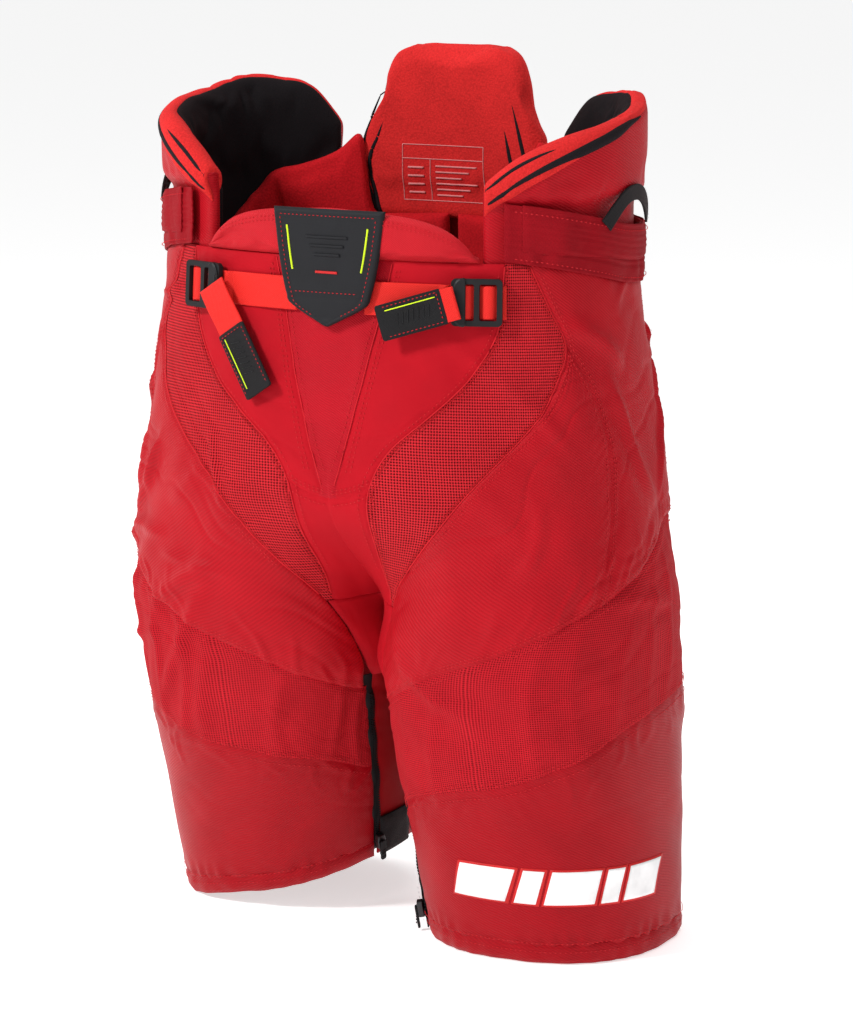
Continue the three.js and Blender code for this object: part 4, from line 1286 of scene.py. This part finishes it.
def add_zip(side, word):
    """Tape, teeth, slider and pull of the zip inside the leg, and the tab that covers its foot."""
    low, high = ZIP_T - ZIP_HALF, ZIP_T + ZIP_HALF
    tape = panel(
        f"{word}_zipper_tape", side, low, high, 8, 203, ZIP_BLACK, out=-0.9, thick=1.4, step=2.0,
        extra=lambda t, z: 0.8 * np.sin(z / 6.5),
    )
    belongs(tape, ROOT, "zip", f"{word}_zipper_tape")
    cloth(tape)
    z = np.linspace(12, 183, 260)
    points, faces = [], []
    for k, level in enumerate(z[::2]):
        lean = 1 if k % 2 else -1
        ripple = 0.8 * math.sin(level / 6.5)
        spot, n = on_skin(side, np.array(ZIP_T + lean * 0.0012), np.array(level), 1.2 + ripple)
        across = unit(skin(side, ZIP_T + 0.004, level) - skin(side, ZIP_T - 0.004, level))
        up = np.cross(n, across)
        start = len(points)
        for a, b in ((-1.7, -0.45), (1.7, -0.45), (1.7, 0.45), (-1.7, 0.45)):
            points.append(spot + across * a + up * b - n * 0.3)
        for a, b in ((-1.4, -0.35), (1.4, -0.35), (1.4, 0.35), (-1.4, 0.35)):
            points.append(spot + across * a + up * b + n * 0.9)
        for f in ((0, 1, 5, 4), (1, 2, 6, 5), (2, 3, 7, 6), (3, 0, 4, 7), (4, 5, 6, 7), (3, 2, 1, 0)):
            faces.append(tuple(start + q for q in f))
    teeth = mesh_object(f"{word}_zipper_teeth", points, faces, ZIP_BLACK, smooth_shade=False)
    belongs(teeth, ROOT, "zip")
    guard = panel(
        f"{word}_zipper_guard", side, 0.012, 0.067, 2, 45, WEBBING_BLACK, out=3.6, thick=2.0, step=2.0,
    )
    belongs(guard, ROOT, "zip", f"{word}_zipper_guard")
    z = np.linspace(6, 37, 24)
    for aside in (0.018, 0.061):
        seam_stitch(f"{word}_guard_stitches", side, aside + 0 * z, z, 5.0)
    belongs(dressed(f"{word}_zip_slider", f"{word}_zip_slider_body", METAL, 0.7), f"{word}_slider", "metal")
    belongs(dressed(f"{word}_zip_pull", f"{word}_zip_pull_tab", ZIP_BLACK, 0.5), f"{word}_pull", "zip")
    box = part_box(f"{word}_zip_pull")
    top = np.array([(box[0].x + box[1].x) / 2, (box[0].y + box[1].y) / 2, box[1].z]) / MM
    matrix, _ = node_frame(side, ZIP_T, 12.0, 2.6)
    for k in range(4):
        spot = top - np.array([0, 0, 6.5 + 2.6 * k]) + matrix[:, 2] * 0.9
        line = spaced(np.array([spot - matrix[:, 0] * 1.7, spot + matrix[:, 0] * 1.7]), 0.8)
        belongs(tube(f"{word}_pull_grip_{k + 1}", line, 0.45, ZIP_BLACK, 6), f"{word}_pull", "zip")
    arch = np.linspace(0, math.pi, 12)
    spot = top + matrix[:, 2] * -1.6 + np.array([0, 0, -0.2])
    bail_bow = [matrix[:, 0] * 2.0 * math.cos(a) + matrix[:, 2] * 2.6 * math.sin(a) for a in arch]
    line = spot + np.array(bail_bow)
    belongs(tube(f"{word}_slider_bail", line, 0.6, METAL, 8), f"{word}_slider", "metal")


# ------------------------------------------------------------------ surface finding


def landed(obj, points, n, out):
    """Points moved along their normals to sit `out` millimetres over an object's surface."""
    tree = surface_of(obj)
    found = []
    for p, d in zip(points.reshape(-1, 3), n.reshape(-1, 3)):
        hit, _, _, _ = tree.ray_cast(Vector((p + d * 18) * MM), Vector(-d), 0.04)
        found.append(np.array(hit) / MM + d * out if hit is not None else p + d * out)
    return np.array(found).reshape(points.shape)


TREES = {}


def surface_of(obj):
    if obj.name not in TREES:
        TREES[obj.name] = BVHTree.FromPolygons(
            [v.co for v in obj.data.vertices], [tuple(p.vertices) for p in obj.data.polygons]
        )
    return TREES[obj.name]


def printed(name, obj, grid, n, material, thick=0.7, body=ROOT, slot="nylon"):
    """A thin raised print that lies on another piece."""
    placed = landed(obj, grid, n, 0.0)
    points = np.concatenate([(placed + n * thick).reshape(-1, 3), (placed - n * 0.5).reshape(-1, 3)])
    mark = mesh_object(name, points, slab_faces(*grid.shape[:2]), material)
    belongs(mark, body, slot)
    return mark


def add_cuff_bars(side, word):
    """Slanted white bars in a row on the outside of the cuff."""
    cuff = bpy.data.objects[f"{word}_cuff_panel_look"]
    bars = ((0.205, 0.262), (0.272, 0.298), (0.308, 0.376), (0.386, 0.412), (0.422, 0.478))
    for k, (start, end) in enumerate(bars):
        uu, vv = np.meshgrid(np.linspace(0, 1, 16), np.linspace(0, 1, 14), indexing="ij")
        t = start + (end - start) * uu + 0.016 * vv
        z = 52 + 27 * vv - 4 * (t - 0.2) / 0.28
        base, n = skin(side, t, z), normals(side, t, z)
        base, n = oriented(side, base, n)
        printed(f"{word}_cuff_bar_{k + 1}", cuff, base, n, PRINT_WHITE, 0.9)
        t = start - 0.0036 + (end - start + 0.0072) * uu + 0.017 * vv
        z = 50.2 + 30.6 * vv - 4 * (t - 0.2) / 0.28
        base, n = oriented(side, skin(side, t, z), normals(side, t, z))
        printed(f"{word}_cuff_edge_{k + 1}", cuff, base, n, ACCENT_RED, 0.4)


# ------------------------------------------------------------------ waist


def rows_below(up_column, distance):
    """Row number that lies `distance` below the top of a column of running lengths."""
    return np.interp(up_column[-1] - distance, up_column, np.arange(len(up_column)))


def spread_pad(length, step):
    near = [0, 1.6, 3.6, 6.2, 9.6]
    middle = np.linspace(near[-1], length - near[-1], max(2, int((length - 2 * near[-1]) / step)) + 1)
    inner = near[:-1] + list(middle) + [length - d for d in near[:-1]][::-1]
    return np.array(inner) / length


def add_kidney(side, word):
    low, start, end = 528.0, 0.19, 0.84
    u, v = spread_pad(392.0, 5.0), spread_pad(104.0, 4.5)
    t, z = region(u, v, start, end, low, along(PAD_RIM))
    base, n = skin(side, t, z), normals(side, t, z)
    loose = wrinkles(side, t, z) * 0.6
    over_band = smooth(z, 578, 592)
    outer = loose - 3.4 + 6.2 * over_band
    inner = loose - 14.5
    base, n, outer, inner, t, z = oriented(side, base, n, outer, inner, t, z)
    pad, top, bottom = pad_body(
        f"{word}_kidney_pad_body", base, n, outer, inner, NYLON, radius=8.0, fixed=z < 584, puff=4.0,
    )
    up, low_up = lengths(top)[1], lengths(bottom)[1]
    n_top, n_bottom = grid_normals(top, n), grid_normals(bottom, -n)

    def path_grid(parts, i_range):
        """Columns across the pad; each part is (grid, distances below the rim from one to the other)."""
        columns = []
        for i in i_range:
            line, directions = [], []
            for grid, normal, run, distances in parts(i):
                j = rows_below(run[int(round(i))], np.array(distances))
                ii = np.full_like(j, float(i))
                line.append(sampled(grid, ii, j))
                directions.append(sampled(normal, ii, j))
            columns.append((np.concatenate(line), np.concatenate(directions)))
        return np.stack([c[0] for c in columns]), np.stack([c[1] for c in columns])

    count = top.shape[0]
    order = range(1, count - 1)

    def rim_parts(i):
        at = float(t[i, -1])
        wide = 29 - 21 * float(smooth(at, 0.24, 0.52))
        deep = 20 - 15.5 * float(smooth(at, 0.3, 0.4))
        down = np.concatenate([np.linspace(wide, 3, 8), [1.4, 0.2]])
        back = np.concatenate([[0.2, 1.4], np.linspace(2, deep, 6)])
        return ((top, n_top, up, down), (bottom, n_bottom, low_up, back))

    grid, direction = path_grid(rim_parts, order)
    direction = unit(direction + np.array([0, 0, 0.02]))
    rim = cover(f"{word}_kidney_rim", grid, direction, KNIT, out=1.7, under=-1.2)
    parts = [(rim, "knit", ())]

    def liner_parts(i):
        deep = low_up[i, -1] - 3
        shallow = 18.5 - 17.0 * float(smooth(float(t[i, -1]), 0.3, 0.4))
        down = np.concatenate([np.linspace(shallow, 22, 8), np.linspace(26, deep, 16)])
        return ((bottom, n_bottom, low_up, down),)

    grid, direction = path_grid(liner_parts, order)
    liner = cover(f"{word}_kidney_liner_cloth", grid, direction, LINER, out=2.6, under=-0.9)
    parts.append((liner, "liner", (f"{word}_kidney_liner",)))
    stripes = (
        ("thin", lambda a: 2.3 * float(smooth(a, 0.39, 0.25)) + 0.25, lambda a: 8.6, 0.195, 0.385),
        ("wide", lambda a: 0.4 + (2.6 + 2.2 * float(smooth(a, 0.2, 0.4))) * float(smooth(a, 0.53, 0.44)),
         lambda a: 20.5 - 11.5 * float(smooth(a, 0.22, 0.52)), 0.195, 0.53),
    )
    for label, breadth, depth, first, last in stripes:
        picked = [i for i in order if first < t[i, -1] < last]

        def stripe_parts(i, depth=depth, breadth=breadth):
            middle, half = depth(float(t[i, -1])), breadth(float(t[i, -1]))
            return ((top, n_top, up, np.linspace(middle + half, middle - half, 5)),)

        grid, direction = path_grid(stripe_parts, picked)
        stripe = cover(f"{word}_rim_stripe_{label}", grid, direction, PRINT_DARK, out=2.5, under=0.6)
        parts.append((stripe, "knit", ()))
    finer(pad)
    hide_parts(f"{word}_kidney_pad", f"{word}_kidney_base")
    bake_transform(pad)
    for obj, slot_name, nodes in parts:
        if nodes:
            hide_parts(*nodes)
        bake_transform(obj)


def front_share(x, z):
    """t on either half at a distance x from the centre plane."""
    share = np.clip(np.abs(x) / curve(SECTIONS[LEFT]["width"], z), 0, 1)
    return np.arcsin(share ** (SQUARENESS / 2)) / math.pi


def plate_points(x, z, back):
    """Skin points and normals at distance x across the front or the back, in the viewer's order."""
    t = front_share(x, z)
    t = 1 - t if back else t
    base, n = both_sides(x, t, z)
    return base, n


def add_spine():
    u, v = spread_pad(150.0, 5.0), spread_pad(138.0, 5.0)
    uu, vv = np.meshgrid(u, v, indexing="ij")
    z = 548 + 138 * vv
    x = (2 * uu - 1) * curve(SPINE_HALF, z)
    base, n = plate_points(x, z, True)
    pad, top, bottom = pad_body(
        "spine_pad_body", base[::-1], n[::-1], np.full_like(x, -2.0), np.full_like(x, -19.5), KNIT,
        radius=9.5, fixed=(z < 568)[::-1], puff=4.0,
    )
    bottom = bottom[::-1]
    finer(pad)
    marks = []

    def drawn(name, xs, zs, radius, material, out=0.15):
        """A raised line on the pad's inner face."""
        base_line, n_line = plate_points(np.asarray(xs, float), np.asarray(zs, float), True)
        start = base_line - n_line * 12
        line = landed_inner(pad, start, -n_line, out)
        line = line if np.ndim(radius) else spaced(line, 1.5)
        marks.append(tube(name, line, radius, material, 8))

    accents = (
        ("a", [(-60, 656), (-72, 630), (-82, 606), (-81, 588), (-70, 553)]),
        ("b", [(-57, 636), (-67, 612), (-75, 590), (-67, 552)]),
        ("c", [(50, 656), (59, 628), (66, 604), (72, 580)]),
        ("d", [(45, 630), (50, 612), (54, 596), (58, 580)]),
    )
    for label, knots in accents:
        corners = np.array(knots, float)
        share = np.linspace(0, 1, 60)
        at = np.linspace(0, 1, len(corners))
        xs, zs = (curve(list(zip(at, corners[:, k])), share) for k in (0, 1))
        inside = curve(SPINE_HALF, zs) - 3.0
        radius = 0.4 + 1.5 * smooth(share, 0, 0.6)
        drawn(f"spine_line_{label}", np.clip(xs, -inside, inside), zs, radius, PRINT_DARK, -0.7)
    left, right, low, high = -45.0, 28.0, 562.0, 606.0
    for k, level in enumerate((low, high, 595.0)):
        xs = np.linspace(left, right, 40)
        drawn(f"label_line_{k + 1}", xs, level + 0 * xs, 0.4, PRINT_PINK)
    for k, at in enumerate((left, right, -20.0)):
        zs = np.linspace(low, 595.0 if k == 2 else high, 30)
        drawn(f"label_post_{k + 1}", at + 0 * zs, zs, 0.4, PRINT_PINK)
    for k in range(6):
        xs = np.linspace(-15, 22 - 7 * (k % 3), 20)
        drawn(f"label_bar_{k + 1}", xs, 589.5 - 4.6 * k + 0 * xs, 0.75, PRINT_PINK)
    for k in range(4):
        xs = np.linspace(-40, -26, 10)
        drawn(f"label_dash_{k + 1}", xs, 588.0 - 6.6 * k + 0 * xs, 0.9, PRINT_PINK)
    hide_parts("spine_pad")
    for obj in [pad] + marks:
        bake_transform(obj)


def landed_inner(obj, points, direction, out):
    """Like landed(), for a face that looks along `direction`."""
    tree = surface_of(obj)
    found = []
    for p, d in zip(points, direction):
        hit, _, _, _ = tree.ray_cast(Vector((p + d * 22) * MM), Vector(-d), 0.06)
        found.append(np.array(hit) / MM + d * out if hit is not None else p + d * 8)
    return np.array(found)


def add_lumbar(side, word):
    u, v = spread_pad(290.0, 5.0), spread_pad(110.0, 5.5)
    top = lambda a: curve(LUMBAR_TOP, a) + (LUMBAR_MIDDLE - curve(LUMBAR_TOP, a)) * smooth(a, 0.876, 0.9)
    t, z = region(u, v, 0.5, 0.9985, 470, top)
    base, n = skin(side, t, z), normals(side, t, z)
    outer = np.full_like(t, -15.8)
    inner = np.full_like(t, -26.0)
    base, n, outer, inner, z = oriented(side, base, n, outer, inner, z)
    pad, _, _ = pad_body(
        f"{word}_lumbar_pad_body", base, n, outer, inner, KNIT_DARK, radius=6.0, fixed=z < 480, puff=2.5,
    )
    finer(pad)
    belongs(pad, ROOT, "knit", f"{word}_lumbar_pad")


def add_front_guard():
    u, v = spread_pad(225.0, 4.5), spread_pad(36.0, 3.4)
    uu, vv = np.meshgrid(u, v, indexing="ij")
    share = 2 * uu - 1
    t = np.abs(share) * 0.186
    z = 540.5 + (curve(GUARD_TOP, t) - 540.5) * vv
    base, n = both_sides(share, t, z)
    calm = 1 - smooth(z, 540, 556)
    loose = calm * np.where(share < 0, wrinkles(RIGHT, t, z), wrinkles(LEFT, t, z)) * smooth(t, 0, 0.03)
    # The guard's cover uses the brightened twill: painted light on its upward-facing top.
    pad, top, _ = pad_body(
        "front_guard_body", base, n, loose + 5.2, loose * 0 - 7.0, LIT_GUARD_TWILL,
        radius=7.0, fixed=z < 544, puff=3.0,
    )
    finer(pad)
    belongs(pad, ROOT, "twill", "front_guard")
    xs = np.linspace(-98, 98, 260)
    at = front_share(xs, np.full_like(xs, 560.0))
    for below in (5.5, 8.5):
        z_line = curve(GUARD_TOP, at) - below
        base_line, n_line = plate_points(xs, z_line, False)
        keep = z_line > 543
        line = landed(pad, base_line[keep], n_line[keep], 0.15)
        stitch("front_stitches", line, n_line[keep], 2.4, 1.2, 0.5, 0.1)


def add_badge():
    """The rubber shield at the centre front: a raised rim, a stitched edge and plain raised bars."""
    u = np.concatenate([[0, 0.012, 0.03, 0.055], np.linspace(0.08, 0.92, 29), [0.945, 0.97, 0.988, 1]])
    v = np.concatenate([[0, 0.008, 0.02, 0.04], np.linspace(0.06, 0.94, 33), [0.96, 0.98, 0.992, 1]])
    uu, vv = np.meshgrid(u, v, indexing="ij")
    z = 489 + 88 * vv
    x = (2 * uu - 1) * curve(BADGE_HALF, z)
    base, n = plate_points(x, z, False)
    across, up = lengths(base)
    edge = edge_distance(across, up)
    lift = 7.6 + 1.9 * smooth(edge, 0, 1.2) + 1.0 * np.exp(-(((edge - 3.0) / 1.7) ** 2))
    lift += 0.5 * smooth(edge, 7.5, 9.0) - 0.9 * np.exp(-(((z - 512) / 1.3) ** 2))
    inner = base + n * 6.4
    outer = base + n * lift[..., None]
    points = np.concatenate([outer.reshape(-1, 3), inner.reshape(-1, 3)])
    badge = mesh_object("waist_badge_shield", points, slab_faces(*base.shape[:2]), RUBBER)
    belongs(badge, ROOT, "rubber", "waist_badge")

    def draw(name, xs, zs, radius, material, out=0.1):
        base_line, n_line = plate_points(np.asarray(xs, float), np.asarray(zs, float), False)
        line = landed(badge, base_line, n_line, out)
        belongs(tube(name, spaced(line, 1.0), radius, material, 8), ROOT, "rubber")

    z_line = np.linspace(497, 572, 60)
    side_x = curve(BADGE_HALF, z_line) - 5.6
    rows = [(-side_x, z_line), (side_x, z_line)]
    rows += [(np.linspace(-40, 40, 60), np.full(60, 572.0)), (np.linspace(-27, 27, 50), np.full(50, 514.6))]
    for xs, zs in rows:
        base_line, n_line = plate_points(xs, zs, False)
        stitch("badge_stitches", landed(badge, base_line, n_line, 0.0), n_line, 2.2, 1.3, 0.42, 0.1)
    for k in range(3):
        xs = np.linspace(-17 + 3 * k, 17 - 3 * k, 24)
        draw(f"badge_bar_{k + 1}", xs, 556.0 - 6.5 * k + 0 * xs, 1.1, RUBBER)
    zs = np.linspace(531, 564, 24)
    for k, sign in enumerate((-1, 1)):
        draw(f"badge_line_{k + 1}", sign * (curve(BADGE_HALF, zs) - 11.0), zs, 0.75, NEON, 0.1)
    xs = np.linspace(-9, 9, 16)
    draw("badge_dash", xs, 530.0 + 0 * xs, 1.0, ACCENT_RED, 0.1)


def add_loop(side, word):
    t = np.linspace(0.42, 0.58, 60)
    z = 566 + 22 * np.sin(math.pi * (t - 0.42) / 0.16)
    out = 6.6 + 1.2 * np.sin(math.pi * (t - 0.42) / 0.16)
    n = normals(side, t, z)
    path = skin(side, t, z) + n * out[:, None]
    ahead = unit(np.gradient(path, axis=0))
    wide = unit(np.cross(n, ahead)) * (-1 if side == LEFT else 1)
    wide = np.where((wide[:, 2:] < 0), -wide, wide)
    grid = ribbon(path, wide, 12.0)
    facing = grid_normals(grid, np.repeat(n[:, None], 13, 1))
    loop = strip(f"{word}_waist_loop_webbing", grid, facing, WEBBING_BLACK, 2.0)
    belongs(loop, ROOT, "black_webbing", f"{word}_waist_loop")
    for at in (0.428, 0.572):
        z_line = np.linspace(564, 571, 8)
        base_line, n_line = skin(side, at + 0 * z_line, z_line), normals(side, at + 0 * z_line, z_line)
        stitch(f"{word}_loop_stitches", base_line + n_line * 7.9, n_line, 1.8, 0.8, 0.4, 0.1)


def add_guards(side, word):
    """Ribbed foam guards inside the thigh and the hip."""

    def guard(label, left, right, low, high, ribs):
        shell = panel(
            f"{word}_{label}_guard_shell", side, left, right, low, high, GUARD, out=-8.5, thick=5.0, step=6.0,
            puff=1.5, groove=0.6, pucker=0.0, extra=lambda t, z: -wrinkles(side, t, z) + ribs(t, z),
        )
        belongs(shell, ROOT, "guard", f"{word}_{label}_guard")

    def thigh_ribs(t, z):
        return 1.2 * np.cos(t * 600 / 7) * smooth(z, 60, 90) * smooth(z, 292, 262)

    def hip_ribs(t, z):
        return 1.2 * np.cos(z / 6) * smooth(t, 0.43, 0.45) * smooth(t, 0.6, 0.58)

    guard("thigh", 0.14, 0.385, 52, 300, thigh_ribs)
    guard("hip", 0.42, 0.61, 240, 460, hip_ribs)


def finish_stitches():
    for group, (points, faces) in STITCHES.items():
        word = group.split("_")[0]
        kind = group.split("_")[1]
        material = DARK_THREAD if kind in ("guard", "loop", "badge") else THREAD
        obj = mesh_object(group, np.concatenate(points), faces, material, smooth_shade=False)
        body = f"{word}_tail" if kind == "tail" else ROOT
        belongs(obj, body, "webbing" if kind in ("tail", "belt") else "nylon")


for side, word in SIDES:
    add_panels(side, word)
    add_zip(side, word)
    add_belt(side, word)
    add_kidney(side, word)
    add_lumbar(side, word)
    add_loop(side, word)
    add_guards(side, word)
add_cuff_bars(LEFT, "left")
add_centre()
add_spine()
add_front_guard()
add_badge()
belongs(dressed("tailbone_guard", "tailbone_guard_shell", INNER, 1.2), ROOT, "guard")
finish_stitches()

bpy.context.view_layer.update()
